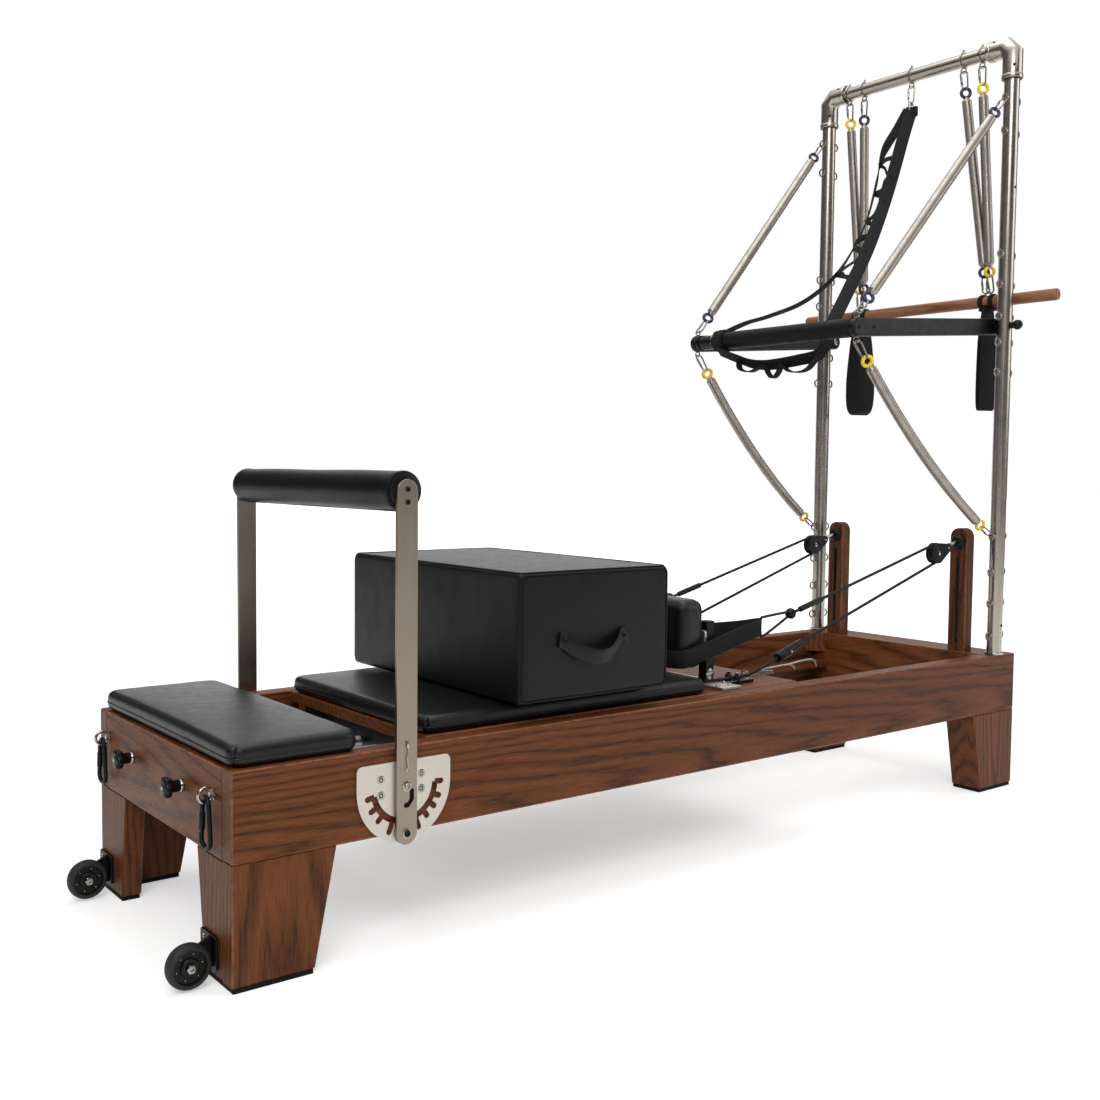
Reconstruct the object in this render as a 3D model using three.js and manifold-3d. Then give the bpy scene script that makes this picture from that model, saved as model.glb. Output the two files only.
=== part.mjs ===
// A wooden pilates reformer with a half tower: frame, carriage, footbar, sitting box, pulleys and ropes,
// and a steel tower with a push-through bar, a roll-down bar, springs and straps.
// Millimetres. X runs from the foot end to the tower, Y across, Z up from the floor.
import * as THREE from "three";
import { mergeVertices } from "three/addons/utils/BufferGeometryUtils.js";
import Module from "manifold-3d";

const wasm = await Module();
wasm.setup();

// Frame
const frameLength = 2390;
const frameWidth = 680;
const railTop = 386;
const railHeight = 162;
const railThick = 42;
const legSideTop = 200;
const legSideBottom = 157;
const legEndTop = 152;
const legEndBottom = 122;
const legHeadThick = 90;
const footPadHeight = 10;
const footPadInset = 3;
const easedEdge = 2.5;
const boardThick = 24;
const ledgeTop = 300;
const ledgeThick = 22;
const ledgeWidth = 56;
const headDeckLength = 114;
const headInnerThick = 28;
const cornerBlock = 45;
const cornerBlockDrop = 60;
const fitGap = 0.3;
const runGap = 1.5;
const overrun = 6;
const closeEnough = 0.15;

// Platform at the foot end
const platformEnd = 255;
const platformPadInset = 11;
const platformPadFront = 5;
const platformPadHeight = 39;
const padCrown = 9;
const padEdge = 11;
const sideDraw = 3;

// Carriage, which rests against its springs at the foot end
const carriageStart = 417;
const carriageLength = 1083;
const carriagePadTail = 310;
const carriagePadHeight = 36;
const carriageSideGap = 8;
const cheekWidth = 22;
const cheekDrop = 54;
const cheekInset = 42;
const wheelRadius = 21;
const wheelWidth = 13;
const carriageAxleRadius = 5;
const wheelsetInset = 110;
const wheelsetTail = 133;

// Shoulder rests, their posts, and the rope fittings behind them
const restSetback = 327;
const restLength = 76;
const restWidth = 150;
const restLow = 430;
const restHigh = 595;
const restEdge = 24;
const restOuter = 217;
const restPost = 25;
const restPostTop = 543;
const restPlateThick = 6;
const restPlateMargin = 22;
const headBarThick = 8;
const headBarLead = 10;
const headBarLength = 62;
const cleatSetback = 210;
const cleatLength = 106;
const cleatWidth = 40;
const cleatBase = 8;
const camRadius = 8.5;
const camHeight = 18;
const camShare = 0.55;
const guideSetback = 63;
const guideLength = 104;
const guideHeight = 14;
const guideThick = 4;
const guideY = 182;
const guideWire = 2.4;
const bails = [
  [[-49, 5], [-30, 10], [-2, 14], [60, 17], [96, 17], [116, 12], [122, 3]],
  [[90, 17], [140, 22], [184, 23], [202, 16], [208, 3]],
];

// Carriage springs under the platform
const springBarAt = 120;
const springBarLength = 30;
const springBarHeight = 30;
const carriageSpringRadius = 12;
const carriageSpringPitch = 92;
const carriageSpringCount = 4;
const springPegRadius = 4;
const springPegHeight = 14;
const springHookRadius = 2.5;
const springBracketThick = 5;

// Sitting box on the carriage
const boxSetback = 161;
const boxLength = 405;
const boxWidth = 674;
const boxHeight = 266;
const boxEdge = 15;
const boxCrown = 4;
const boxSink = 1.75;
const handleInset = 187;
const handleSpan = 160;
const handleWidth = 27;
const handleThick = 4;
const handleTop = 555;
const handleSag = 40;
const handleBow = 12;
const handleTilt = 0.25;
const handleStandoff = 2;
const handleScrewRadius = 7;

// Footbar and its slotted plates
const pivotX = 338;
const pivotZ = 314;
const rollerHeight = 546;
const armWidth = 44;
const armThick = 8;
const armTail = 110;
const plateHalf = 101;
const plateRise = 47;
const plateCorner = 12;
const plateDrop = 106;
const plateThick = 5;
const slotRadius = 66;
const slotHalf = 6;
const slotEnds = [-79, 88];
const endHoleRadius = 80;
const notchHalf = 5.5;
const notchAngles = [-61, -44, 37, 53, 68];
const notchReach = 81;
const deepNotchAngles = [-22, 0, 20];
const deepNotchReach = 89;
const pivotBoltRadius = 6;
const boltHead = 10;
const boltHeadHeight = 5;
const lockPinRadius = 4.6;
const plateScrewRadius = 6;
const plateScrews = [[-51, 17], [-51, -12], [36, 17], [36, -11]];
const rollerRadius = 38;
const rollerCore = 19;
const rollerCap = 33;
const rollerCapThick = 3;
const rollerWaist = 1.5;

// Transport wheels at the foot end
const transportRadius = 40;
const transportWidth = 26;
const transportX = -52;
const transportZ = 43;
const transportY = 275;
const transportAxle = 5;
const transportHub = 17;
const transportRim = 30;
const transportLip = 36;
const bracketThick = 5;
const bracketBack = 8;
const bracketReach = 61;
const bracketLow = 24;
const bracketHigh = 84;

// Rings, snap hooks and knobs on the foot board
const eyeYs = [-264, 285];
const eyeZ = 333;
const eyeRadius = 13;
const eyeWire = 3;
const eyeFlange = 11;
const snapLength = 90;
const snapWidth = 34;
const snapWire = 4.5;
const snapPlay = 1.75;
const snapTaper = -0.26;
const knobYs = [-120, 142];
const knobZ = 318;
const knobRadius = 20;
const knobThick = 16;
const knobFace = 38;
const knobHub = 11;
const knobCollar = 12;
const knobCollarThick = 3;
const knobStemRadius = 5;
const knobLobes = 6;
const knobLobeDepth = 3;

// Tower
const postInset = 73;
const postRadius = 21;
const postWall = 2.5;
const spigotRadius = 12;
const spigotLength = 110;
const towerTop = 2089;
const elbowRadius = 27;
const elbowRim = 29;
const elbowReach = 70;
const elbowChamfer = 30;
const elbowDrop = 84;
const topTubeRadius = 19;
const hangerWire = 3;
const hangerStub = 12;
const hangerY = { far: [240, 184], strap: 12, near: [-164, -224] };
const eyeletShares = [0.0317, 0.0863, 0.1386, 0.1985, 0.4703, 0.5197, 0.5619, 0.6142, 0.6635, 0.862, 0.9149];
const lowerSpringEyelet = 3;
const upperSpringEyelet = 10;
const eyeletRadius = 11;
const eyeletWire = 1.8;
const eyeletSink = 0.3;

// Risers and pulleys
const riserWidth = 54;
const riserThick = 36;
const riserY = 221;
const riserTopZ = 744;
const riserSlotWidth = 11;
const riserSlotTop = 663;
const riserSlotBottom = 411;
const pulleyLead = 112;
const pulleyZ = 675;
const sheaveRadius = 27;
const sheaveWidth = 14;
const sheaveGroove = 5;
const sheaveBore = 5;
const blockCheek = 4;
const blockRadius = 29;
const blockNose = 12;
const blockNoseAt = 50;
const blockStem = 5;
const bossRadius = 22;
const bossFace = 15;
const bossLength = 14;
const bossZ = 704;
const bossBolt = 6;
const bossKnob = 14;
const bossKnobLength = 16;

// Ropes: [X, Z] stations of the lower and upper runs, and the webbing loop's [X, Y, Z].
// X is from the carriage's head end, Z from the top of the rails.
const ropeRadius = 4;
const cleatRope = [[-208, 13], [-160, 13], [-104, 15], [-50, 29]];
const lockRun = [[5, 47], [99, 82]];
const sleeveRun = [[170, 187], [85, 165]];
const ballAt = [51, 157];
const ropeTurnSteps = 7;
const ropeLead = 60;
const lockRadius = 13;
const lockTip = 9;
const sleeveRadius = 7.5;
const ballRadius = 14;
const triangleWire = 3.5;
const loopBand = 48;
const loopBandThick = 4;
const triangleAt = [-59, 132];
const loopRoute = [
  [-60, 222, 132],
  [-142, 229, 116],
  [-220, 231, 98],
  [-310, 228, 77],
  [-337, 205, 71],
  [-339, 140, 70],
  [-337, 78, 71],
  [-310, 55, 77],
  [-238, 58, 94],
  [-160, 110, 112],
  [-100, 180, 124],
];

// Push-through bar
const barPivotZ = 1318;
const barReach = 610;
const barDrop = 48;
const barArmHeight = 47;
const barArmThick = 20;
const barArmY = 282;
const barTubeRadius = 20;
const barGripRadius = 24.5;
const barGripEnd = 205;
const barPinRadius = 6;
const barPinNeck = 12;
const barPinKnob = 14;
const barHubRadius = 20;
const smallEye = 8;

// Roll-down bar and its loops
const dowelSetback = 63;
const dowelZ = 1400;
const dowelHalf = 440;
const dowelRadius = 16.5;
const dowelEyeY = { far: 222, near: -226 };
const loopCollar = 14;
const loopCollarAt = 16;
const loopCollarThick = 5;
const footLoopBand = 42;
const footLoopThick = 5;
const footLoopY = { far: 222, near: -226 };
const footLoopHalf = { far: 46, near: 25 };
const footLoopDrop = 312;

// Tower springs, each with a ring and a snap clip at both ends
const springRadius = 11.5;
const springNeck = 4;
const springTaper = 10;
const linkRadius = 13;
const linkWire = 3;
const clipLength = 52;
const clipWidth = 20;
const clipWire = 2;
const clipTaper = 0.2;
const lowerSag = 34;
const sagSlant = 12;

// Strap of many loops between the top tube and the push-through bar.
// Stations are back from the posts, aside, and up from the bar; strapRise is the bar's drop below the top tube.
const strapThick = 3;
const strapBand = 38;
const strapNarrow = 24;
const wrapAt = 182;
const wrapHalf = 17;
const wrapRadius = 34;
const strapRise = 819;
const narrowRun = [
  [0, 12, 722], [49, 25, 660], [95, 39, 576], [119, 45, 471], [150, 54, 366], [215, 72, 250],
  [282, 90, 177], [364, 113, 120], [461, 141, 80], [532, 165, 56], [595, 182, 28],
];
const wideRun = [
  [0, 10, 722], [67, -4, 630], [157, -28, 442], [287, -66, 268], [412, -98, 132], [517, -128, 26],
  [553, -140, -24], [579, -136, -58], [605, -96, -70], [613, -40, -76], [617, 14, -78], [623, 60, -72],
  [629, 100, -58], [633, 140, -44], [627, 182, -30],
];
const tangle = [
  [67, -4, 630], [105, 20, 530], [131, -30, 482], [157, 6, 432], [201, -58, 378], [227, -14, 330],
  [265, -78, 286], [307, -44, 230], [351, -98, 186], [387, -56, 150], [427, -110, 116],
];
const festoons = [
  [[629, 100, -58], [629, 96, -84], [627, 62, -94], [623, 34, -86], [617, 14, -78]],
  [[617, 14, -78], [619, 0, -102], [617, -14, -114], [615, -30, -102], [613, -40, -76]],
  [[613, -40, -76], [611, -64, -98], [605, -100, -102], [595, -122, -90], [579, -136, -58]],
];

// Faces per circle
const roundSides = 16;
const tubeSides = 12;
const smallSides = 8;
const boltSides = 6;
const wireSides = 5;
const ringSides = 3;
const ringSteps = 6;
const clipSteps = 8;
const hookSteps = 12;

// Places that follow
const halfWidth = frameWidth / 2;
const innerHalf = halfWidth - railThick;
const railBottom = railTop - railHeight;
const headInnerX = frameLength - headDeckLength;
const postX = frameLength - postInset;
const postY = halfWidth - railThick / 2;
const eyeletZ = eyeletShares.map((share) => railTop + share * (towerTop - railTop));
const dowelX = postX + dowelSetback;
const pulleyX = headInnerX - pulleyLead;
const carriageEnd = carriageStart + carriageLength;
const carriageHalf = innerHalf - carriageSideGap;
const carriagePadTop = railTop + carriagePadHeight;
const carriageAxleZ = ledgeTop + wheelRadius + fitGap;
const carriageAxleX = [carriageStart + wheelsetInset, carriageEnd - wheelsetTail];
const restFront = carriageEnd - restSetback;
const boxStart = restFront - boxSetback - boxLength;
const handleX = boxStart + handleInset;
const cleatStart = carriageEnd - cleatSetback;
const guideStart = carriageEnd - guideSetback;
const springZ = ledgeTop + springBarHeight + springHookRadius + 2 * fitGap;
const springY = Array.from(
  { length: carriageSpringCount },
  (_, i) => (i - (carriageSpringCount - 1) / 2) * carriageSpringPitch,
);
const deckZ = railTop + fitGap;
const restBack = restFront + restLength + fitGap;
const boxLow = carriagePadTop + padCrown + fitGap - boxSink;
const plateY = halfWidth + fitGap;
const armY = plateY + plateThick + fitGap;
const rollerZ = pivotZ + rollerHeight;
const hangerEyeZ = towerTop - topTubeRadius - smallEye - hangerWire / 2;
const eyeletReach = postRadius + eyeletRadius - eyeletSink;
const riserX = headInnerX + fitGap;
const bossFront = riserX - fitGap - bossLength;
const barX = postX - barReach;
const barZ = barPivotZ - barDrop;
const strapStretch = (towerTop - barZ) / strapRise;
const barEyeGap = barArmHeight / 2 + smallEye - eyeletSink;
const dowelEyeZ = dowelZ + dowelRadius + smallEye * 0.7;
const fromCarriage = ([x, z]) => [carriageEnd + x, railTop + z];
const cleatLine = cleatRope.map(fromCarriage);
const lockLine = lockRun.map(fromCarriage);
const sleeveLine = sleeveRun.map(fromCarriage);
const ballPlace = fromCarriage(ballAt);
const fromPosts = ([back, aside, up]) => [postX - back, aside, barZ + up * (up > 0 ? strapStretch : 1)];
const near = -1;
const far = 1;

// Solids from geometry, and joins and cuts between them

function solid(geometry) {
  const bare = geometry.clone();
  for (const name of Object.keys(bare.attributes)) if (name !== "position") bare.deleteAttribute(name);
  const merged = mergeVertices(bare, 1e-4);
  const corners = Array.from(merged.index.array);
  const kept = [];
  for (let i = 0; i < corners.length; i += 3) {
    const [a, b, c] = corners.slice(i, i + 3);
    if (a !== b && b !== c && c !== a) kept.push(a, b, c);
  }
  return new wasm.Manifold(
    new wasm.Mesh({
      numProp: 3,
      vertProperties: merged.attributes.position.array,
      triVerts: new Uint32Array(kept),
    }),
  );
}

const asSolid = (item) => (item.isBufferGeometry ? solid(item) : item);

function join(...items) {
  return items.flat(Infinity).map(asSolid).reduce((all, one) => all.add(one));
}

function cut(body, ...tools) {
  return tools.flat(Infinity).map(asSolid).reduce((all, one) => all.subtract(one), asSolid(body));
}

// Small voids shut in where wires and webbing meet are filled
function filled(item) {
  const shells = asSolid(item).decompose();
  return shells
    .filter((shell) => shell.volume() > 0)
    .reduce((all, one) => all.add(one))
    .simplify(closeEnough);
}

function toGeometry(item) {
  const mesh = filled(item).getMesh();
  const geometry = new THREE.BufferGeometry();
  geometry.setAttribute("position", new THREE.BufferAttribute(new Float32Array(mesh.vertProperties), 3));
  geometry.setIndex(new THREE.BufferAttribute(new Uint32Array(mesh.triVerts), 1));
  geometry.computeVertexNormals();
  return geometry;
}

// Basic shapes, placed where they belong

const span = (a, b) => [Math.min(a, b), Math.max(a, b)];
const vector = (p) => new THREE.Vector3(...p);

function block(low, high) {
  const size = high.map((value, i) => value - low[i]);
  const centre = high.map((value, i) => (value + low[i]) / 2);
  return new THREE.BoxGeometry(...size).translate(...centre);
}

function rod(radius, from, to, sides = tubeSides, endRadius = radius) {
  const [a, b] = [vector(from), vector(to)];
  const turn = new THREE.Quaternion().setFromUnitVectors(new THREE.Vector3(0, 1, 0), b.clone().sub(a).normalize());
  return new THREE.CylinderGeometry(endRadius, radius, a.distanceTo(b), sides)
    .applyQuaternion(turn)
    .translate(...a.add(b).multiplyScalar(1 / 2));
}

// A faceted hole that a faceted pin of this radius can turn in
const bored = (radius, sides) => (radius + fitGap) / Math.cos(Math.PI / sides);

function ball(radius, at, sides = smallSides) {
  return new THREE.SphereGeometry(radius, sides, sides / 2).translate(...at);
}

const outline = (points) => new THREE.Shape(points.map(([a, b]) => new THREE.Vector2(a, b)));

// A shape in the plane square to an axis, given a thickness along that axis
function slabZ(shape, low, high, bevel = 0, curveSegments = 6) {
  return new THREE.ExtrudeGeometry(shape, {
    depth: high - low - 2 * bevel,
    bevelEnabled: bevel > 0,
    bevelSize: bevel,
    bevelThickness: bevel,
    bevelOffset: -bevel,
    bevelSegments: 1,
    curveSegments,
  }).translate(0, 0, low + bevel);
}

function slabY(shapeXZ, low, high, bevel = 0, curveSegments = 6) {
  return slabZ(shapeXZ, -high, -low, bevel, curveSegments).rotateX(Math.PI / 2);
}

function slabX(shapeYZ, low, high, bevel = 0, curveSegments = 6) {
  return slabZ(shapeYZ, low, high, bevel, curveSegments).rotateZ(Math.PI / 2).rotateY(Math.PI / 2);
}

// A board with eased edges all round
function plank([x0, y0, z0], [x1, y1, z1], edge = easedEdge) {
  const shape = outline([
    [y0 + edge, z0],
    [y1 - edge, z0],
    [y1, z0 + edge],
    [y1, z1 - edge],
    [y1 - edge, z1],
    [y0 + edge, z1],
    [y0, z1 - edge],
    [y0, z0 + edge],
  ]);
  return slabX(shape, x0, x1, edge);
}

// A turned piece: [radius, place] pairs round an axis through a point
function turned(profile, at, axis, sides = roundSides) {
  const turn = new THREE.Quaternion().setFromUnitVectors(new THREE.Vector3(0, 1, 0), vector(axis));
  const points = profile.map(([r, h]) => new THREE.Vector2(r, h));
  return rightWay(new THREE.LatheGeometry(points, sides).applyQuaternion(turn).translate(...at));
}

// The same surface with its faces turned outwards
function rightWay(geometry) {
  if (solid(geometry).volume() > 0) return geometry;
  const index = Array.from(geometry.index.array);
  geometry.setIndex(index.map((_, i) => index[i - (i % 3) + ((3 - (i % 3)) % 3)]));
  return geometry;
}

function surface(positions, index) {
  const geometry = new THREE.BufferGeometry();
  geometry.setAttribute("position", new THREE.Float32BufferAttribute(positions, 3));
  geometry.setIndex(index);
  return rightWay(geometry);
}

// A closed wire through place(angle), which lies square to a normal
function wireLoop(place, normal, wire, steps) {
  const positions = [];
  const index = [];
  const up = vector(normal).normalize();
  const centres = Array.from({ length: steps }, (_, i) => place((2 * Math.PI * i) / steps));
  centres.forEach((centre, i) => {
    const along = centres[(i + 1) % steps].clone().sub(centres[(i + steps - 1) % steps]).normalize();
    const out = along.clone().cross(up);
    for (let j = 0; j < ringSides; j++) {
      const angle = (2 * Math.PI * (j + 1 / 2)) / ringSides;
      const point = centre.clone().addScaledVector(out, wire * Math.cos(angle));
      positions.push(...point.addScaledVector(up, wire * Math.sin(angle)));
      const [a, b] = [i * ringSides + j, i * ringSides + ((j + 1) % ringSides)];
      const [c, d] = [a, b].map((k) => (k + ringSides) % (steps * ringSides));
      index.push(a, b, c, b, d, c);
    }
  });
  return surface(positions, index);
}

// An oval or pear-shaped link between two points
function link(from, to, side, width, wire, taper = 0, steps = ringSteps) {
  const [a, b] = [vector(from), vector(to)];
  const middle = a.clone().add(b).multiplyScalar(1 / 2);
  const along = b.clone().sub(a);
  const half = along.length() / 2;
  along.normalize();
  const wide = vector(side);
  wide.addScaledVector(along, -wide.dot(along)).normalize();
  const place = (angle) =>
    middle
      .clone()
      .addScaledVector(along, half * Math.cos(angle))
      .addScaledVector(wide, (width / 2) * Math.sin(angle) * (1 - taper * Math.cos(angle)));
  return wireLoop(place, along.clone().cross(wide).toArray(), wire, steps);
}

// A round ring in an X-Z plane, with corners to the sides or above and below
function ringXZ([x, y, z], radius, wire) {
  return link([x - radius, y, z], [x + radius, y, z], [0, 0, 1], 2 * radius, wire);
}

function ringUpright([x, y, z], radius, wire) {
  return link([x, y, z - radius], [x, y, z + radius], [1, 0, 0], 2 * radius, wire);
}

// How far from a ring's centre a clip's wire bears on it
const seat = (radius, wire) => radius * Math.cos(Math.PI / ringSteps) - wire - clipWire - fitGap;

// A flat band along a path; across gives its width direction, one or one for each point
function band(points, across, width, thick, closed = false) {
  const positions = [];
  const index = [];
  const path = points.map(vector);
  const count = path.length;
  path.forEach((centre, i) => {
    const before = path[closed ? (i + count - 1) % count : Math.max(i - 1, 0)];
    const after = path[closed ? (i + 1) % count : Math.min(i + 1, count - 1)];
    const along = after.clone().sub(before).normalize();
    const wide = vector(Array.isArray(across[0]) ? across[i] : across);
    wide.addScaledVector(along, -wide.dot(along)).normalize();
    const out = along.clone().cross(wide);
    for (const [u, v] of [[-1, -1], [1, -1], [1, 1], [-1, 1]]) {
      const corner = centre.clone().addScaledVector(wide, (u * width) / 2);
      positions.push(...corner.addScaledVector(out, (v * thick) / 2));
    }
  });
  const spans = closed ? count : count - 1;
  for (let i = 0; i < spans; i++) {
    for (let j = 0; j < 4; j++) {
      const [a, b] = [i * 4 + j, i * 4 + ((j + 1) % 4)];
      const [c, d] = [a, b].map((k) => (k + 4) % (count * 4));
      index.push(a, b, c, b, d, c);
    }
  }
  if (!closed) {
    const last = (count - 1) * 4;
    index.push(0, 2, 1, 0, 3, 2, last, last + 1, last + 2, last, last + 2, last + 3);
  }
  return surface(positions, index);
}

// A round cord through points that lie in a plane with the given normal
function cord(points, normal, radius, sides = boltSides) {
  const path = points.map(vector);
  const up = vector(normal);
  const positions = [];
  const index = [];
  path.forEach((centre, i) => {
    const before = path[Math.max(i - 1, 0)];
    const after = path[Math.min(i + 1, path.length - 1)];
    const into = centre.clone().sub(before).normalize();
    const along = into.clone().add(after.clone().sub(centre).normalize()).normalize();
    const out = along.clone().cross(up);
    for (let j = 0; j < sides; j++) {
      const angle = (2 * Math.PI * j) / sides;
      const point = centre.clone().addScaledVector(up, radius * Math.cos(angle));
      positions.push(...point.addScaledVector(out, radius * Math.sin(angle)));
      const [a, b] = [i * sides + j, i * sides + ((j + 1) % sides)];
      if (i < path.length - 1) index.push(a, b, a + sides, b, b + sides, a + sides);
    }
  });
  const last = (path.length - 1) * sides;
  for (let j = 1; j < sides - 1; j++) index.push(0, j + 1, j, last, last + j, last + j + 1);
  return surface(positions, index);
}

function curveThrough(points, closed = false) {
  return new THREE.CatmullRomCurve3(points.map(vector), closed, "centripetal");
}

function smooth(points, count, closed = false) {
  const made = curveThrough(points, closed).getSpacedPoints(count).map((p) => p.toArray());
  if (closed) made.pop();
  return made;
}

function tube(points, radius, steps, sides = wireSides) {
  const ring = Array.from({ length: sides }, (_, i) => {
    const angle = (2 * Math.PI * i) / sides;
    return [radius * Math.cos(angle), radius * Math.sin(angle)];
  });
  return new THREE.ExtrudeGeometry(outline(ring), { steps, extrudePath: curveThrough(points), bevelEnabled: false });
}

// An upholstered block: rounded edges, a crowned top, and sides drawn in between the corners
function cushion(low, high, edge, crown, draw, stations = 3) {
  const size = high.map((value, i) => value - low[i]);
  const centre = high.map((value, i) => (value + low[i]) / 2);
  const bend = edge * (1 - Math.tan(Math.PI / 8));
  const stops = size.map((length) => {
    const inner = Array.from({ length: stations - 1 }, (_, i) => edge + ((length - 2 * edge) * (i + 1)) / stations);
    return [0, bend, edge, ...inner, length - edge, length - bend, length];
  });
  const shape = (raw) => {
    const core = raw.map((value, i) => Math.min(Math.max(value, edge), size[i] - edge));
    const away = vector(raw.map((value, i) => value - core[i])).normalize();
    const local = core.map((value, i) => value + edge * away.getComponent(i) - size[i] / 2);
    const share = local.map((value, i) => (2 * value) / size[i]);
    const bulge = share.map((value) => 1 - value * value);
    const level = (share[2] + 1) / 2;
    const pull = [0, 1].map((i) => -draw * share[i] ** 3 * bulge[1 - i]);
    const lift = crown * bulge[0] * bulge[1] * level ** 2;
    return [centre[0] + local[0] + pull[0], centre[1] + local[1] + pull[1], centre[2] + local[2] + lift];
  };
  const positions = [];
  const index = [];
  for (let axis = 0; axis < 3; axis++) {
    const [u, v] = [(axis + 1) % 3, (axis + 2) % 3];
    for (const side of [0, 1]) {
      const base = positions.length / 3;
      const rows = stops[v].length;
      stops[u].forEach((a) => {
        stops[v].forEach((b) => {
          const raw = [];
          raw[axis] = side * size[axis];
          raw[u] = a;
          raw[v] = b;
          positions.push(...shape(raw));
        });
      });
      for (let i = 0; i < stops[u].length - 1; i++) {
        for (let j = 0; j < rows - 1; j++) {
          const [a, b] = [base + i * rows + j, base + (i + 1) * rows + j];
          const quad = [a, b, b + 1, a, b + 1, a + 1];
          index.push(...(side ? quad : quad.toReversed()));
        }
      }
    }
  }
  return surface(positions, index);
}

// Frame

function sideRail(side) {
  const [low, high] = span(side * innerHalf, side * halfWidth);
  const [ledgeLow, ledgeHigh] = span(side * (innerHalf - ledgeWidth), side * (innerHalf + easedEdge));
  const socket = rod(
    spigotRadius + fitGap,
    [postX, side * postY, railTop - spigotLength],
    [postX, side * postY, railTop + overrun],
  );
  const ledge = block(
    [railThick + fitGap, ledgeLow, ledgeTop - ledgeThick],
    [headInnerX - fitGap, ledgeHigh, ledgeTop],
  );
  return cut(join(plank([0, low, railBottom], [frameLength, high, railTop]), ledge), socket);
}

function endBoard(x0, x1) {
  const half = innerHalf - fitGap;
  return plank([x0, -half, railBottom], [x1, half, railTop]);
}

// The foot board carries two ring bolts and is bored for the knobs' studs
function footBoard() {
  const rings = eyeYs.map((y) => [
    ringXZ([-eyeRadius - eyeWire / 2, y, eyeZ], eyeRadius, eyeWire),
    rod(eyeWire, [-2 * eyeWire, y, eyeZ], [overrun, y, eyeZ], smallSides),
    rod(eyeFlange, [-eyeWire, y, eyeZ], [overrun, y, eyeZ], smallSides),
  ]);
  const holes = knobYs.map((y) =>
    rod(bored(knobStemRadius, smallSides), [-overrun, y, knobZ], [railThick + overrun, y, knobZ], smallSides),
  );
  return cut(join(endBoard(0, railThick), rings), holes);
}

// The inner board and the deck on it carry the risers, with blocks in the corners
function headDeck() {
  const half = innerHalf - fitGap;
  const deckX = frameLength - railThick - fitGap;
  const corners = [near, far].map((side) => {
    const triangle = outline([
      [headInnerX + easedEdge, side * half],
      [headInnerX + easedEdge, side * (half - cornerBlock)],
      [headInnerX, side * (half - cornerBlock)],
      [headInnerX - cornerBlock, side * half],
    ]);
    return slabZ(triangle, railTop - cornerBlockDrop, railTop - easedEdge);
  });
  return join(
    block([headInnerX, -half, railBottom], [headInnerX + headInnerThick, half, railTop]),
    block([headInnerX, -half, railTop - boardThick], [deckX, half, railTop]),
    corners,
  );
}

// Each foot-end leg is an angle of two tapered boards on a rubber pad
function footLeg(side) {
  const top = railBottom - fitGap;
  const sideBoard = outline([
    [0, footPadHeight],
    [legSideBottom, footPadHeight],
    [legSideTop, top],
    [0, top],
  ]);
  const endStrip = outline([
    [side * (innerHalf + overrun), footPadHeight],
    [side * (halfWidth - legEndBottom), footPadHeight],
    [side * (halfWidth - legEndTop), top],
    [side * (innerHalf + overrun), top],
  ]);
  const outer = side * (halfWidth - footPadInset);
  const pad = (length, inner) => {
    const [low, high] = span(outer, side * inner);
    return block([footPadInset, low, 0], [length - footPadInset, high, footPadHeight + easedEdge]);
  };
  return join(
    slabY(sideBoard, ...span(side * halfWidth, side * innerHalf), easedEdge),
    slabX(endStrip, 0, railThick, easedEdge),
    pad(legSideBottom, innerHalf + footPadInset),
    pad(railThick, halfWidth - legEndBottom + footPadInset),
  );
}

function headLeg(side) {
  const top = railBottom - fitGap;
  const board = outline([
    [frameLength, footPadHeight],
    [frameLength, top],
    [frameLength - legSideTop, top],
    [frameLength - legSideBottom, footPadHeight],
  ]);
  const inner = halfWidth - legHeadThick;
  const [low, high] = span(side * (halfWidth - footPadInset), side * (inner + footPadInset));
  return join(
    slabY(board, ...span(side * halfWidth, side * inner), easedEdge),
    block(
      [frameLength - legSideBottom + footPadInset, low, 0],
      [frameLength - footPadInset, high, footPadHeight + easedEdge],
    ),
  );
}

function platformBoard() {
  const half = innerHalf - fitGap;
  return plank([railThick + fitGap, -half, railTop - boardThick], [platformEnd - footPadHeight, half, railTop]);
}

function platformPad() {
  const half = halfWidth - platformPadInset;
  return cushion(
    [platformPadFront, -half, railTop + fitGap],
    [platformEnd, half, railTop + platformPadHeight],
    padEdge,
    padCrown,
    sideDraw,
  );
}

function springBar() {
  const half = innerHalf - fitGap;
  const top = ledgeTop + springBarHeight;
  const middle = springBarAt + springBarLength / 2;
  const bar = block([springBarAt, -half, ledgeTop + fitGap], [springBarAt + springBarLength, half, top]);
  const pegs = springY.map((y) =>
    rod(springPegRadius, [middle, y, top - overrun], [middle, y, springZ + springPegHeight], smallSides),
  );
  return join(bar, pegs);
}

// Carriage

function carriageBoard() {
  const deck = plank([carriageStart, -carriageHalf, railTop - boardThick], [carriageEnd, carriageHalf, railTop]);
  const cheeks = [near, far].map((side) => {
    const outer = carriageHalf - cheekInset;
    const [low, high] = span(side * outer, side * (outer - cheekWidth));
    return block(
      [carriageStart, low, railTop - boardThick - cheekDrop],
      [carriageEnd, high, railTop - boardThick + overrun],
    );
  });
  const bores = carriageAxleX.map((x) =>
    rod(carriageAxleRadius + fitGap, [x, -carriageHalf, carriageAxleZ], [x, carriageHalf, carriageAxleZ]),
  );
  return cut(join(deck, cheeks), bores);
}

function wheelset(x) {
  const outer = innerHalf - runGap;
  const wheels = [near, far].map((side) =>
    rod(wheelRadius, [x, side * outer, carriageAxleZ], [x, side * (outer - wheelWidth), carriageAxleZ], roundSides),
  );
  const half = outer - wheelWidth / 2;
  return join(wheels, rod(carriageAxleRadius, [x, -half, carriageAxleZ], [x, half, carriageAxleZ]));
}

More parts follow.
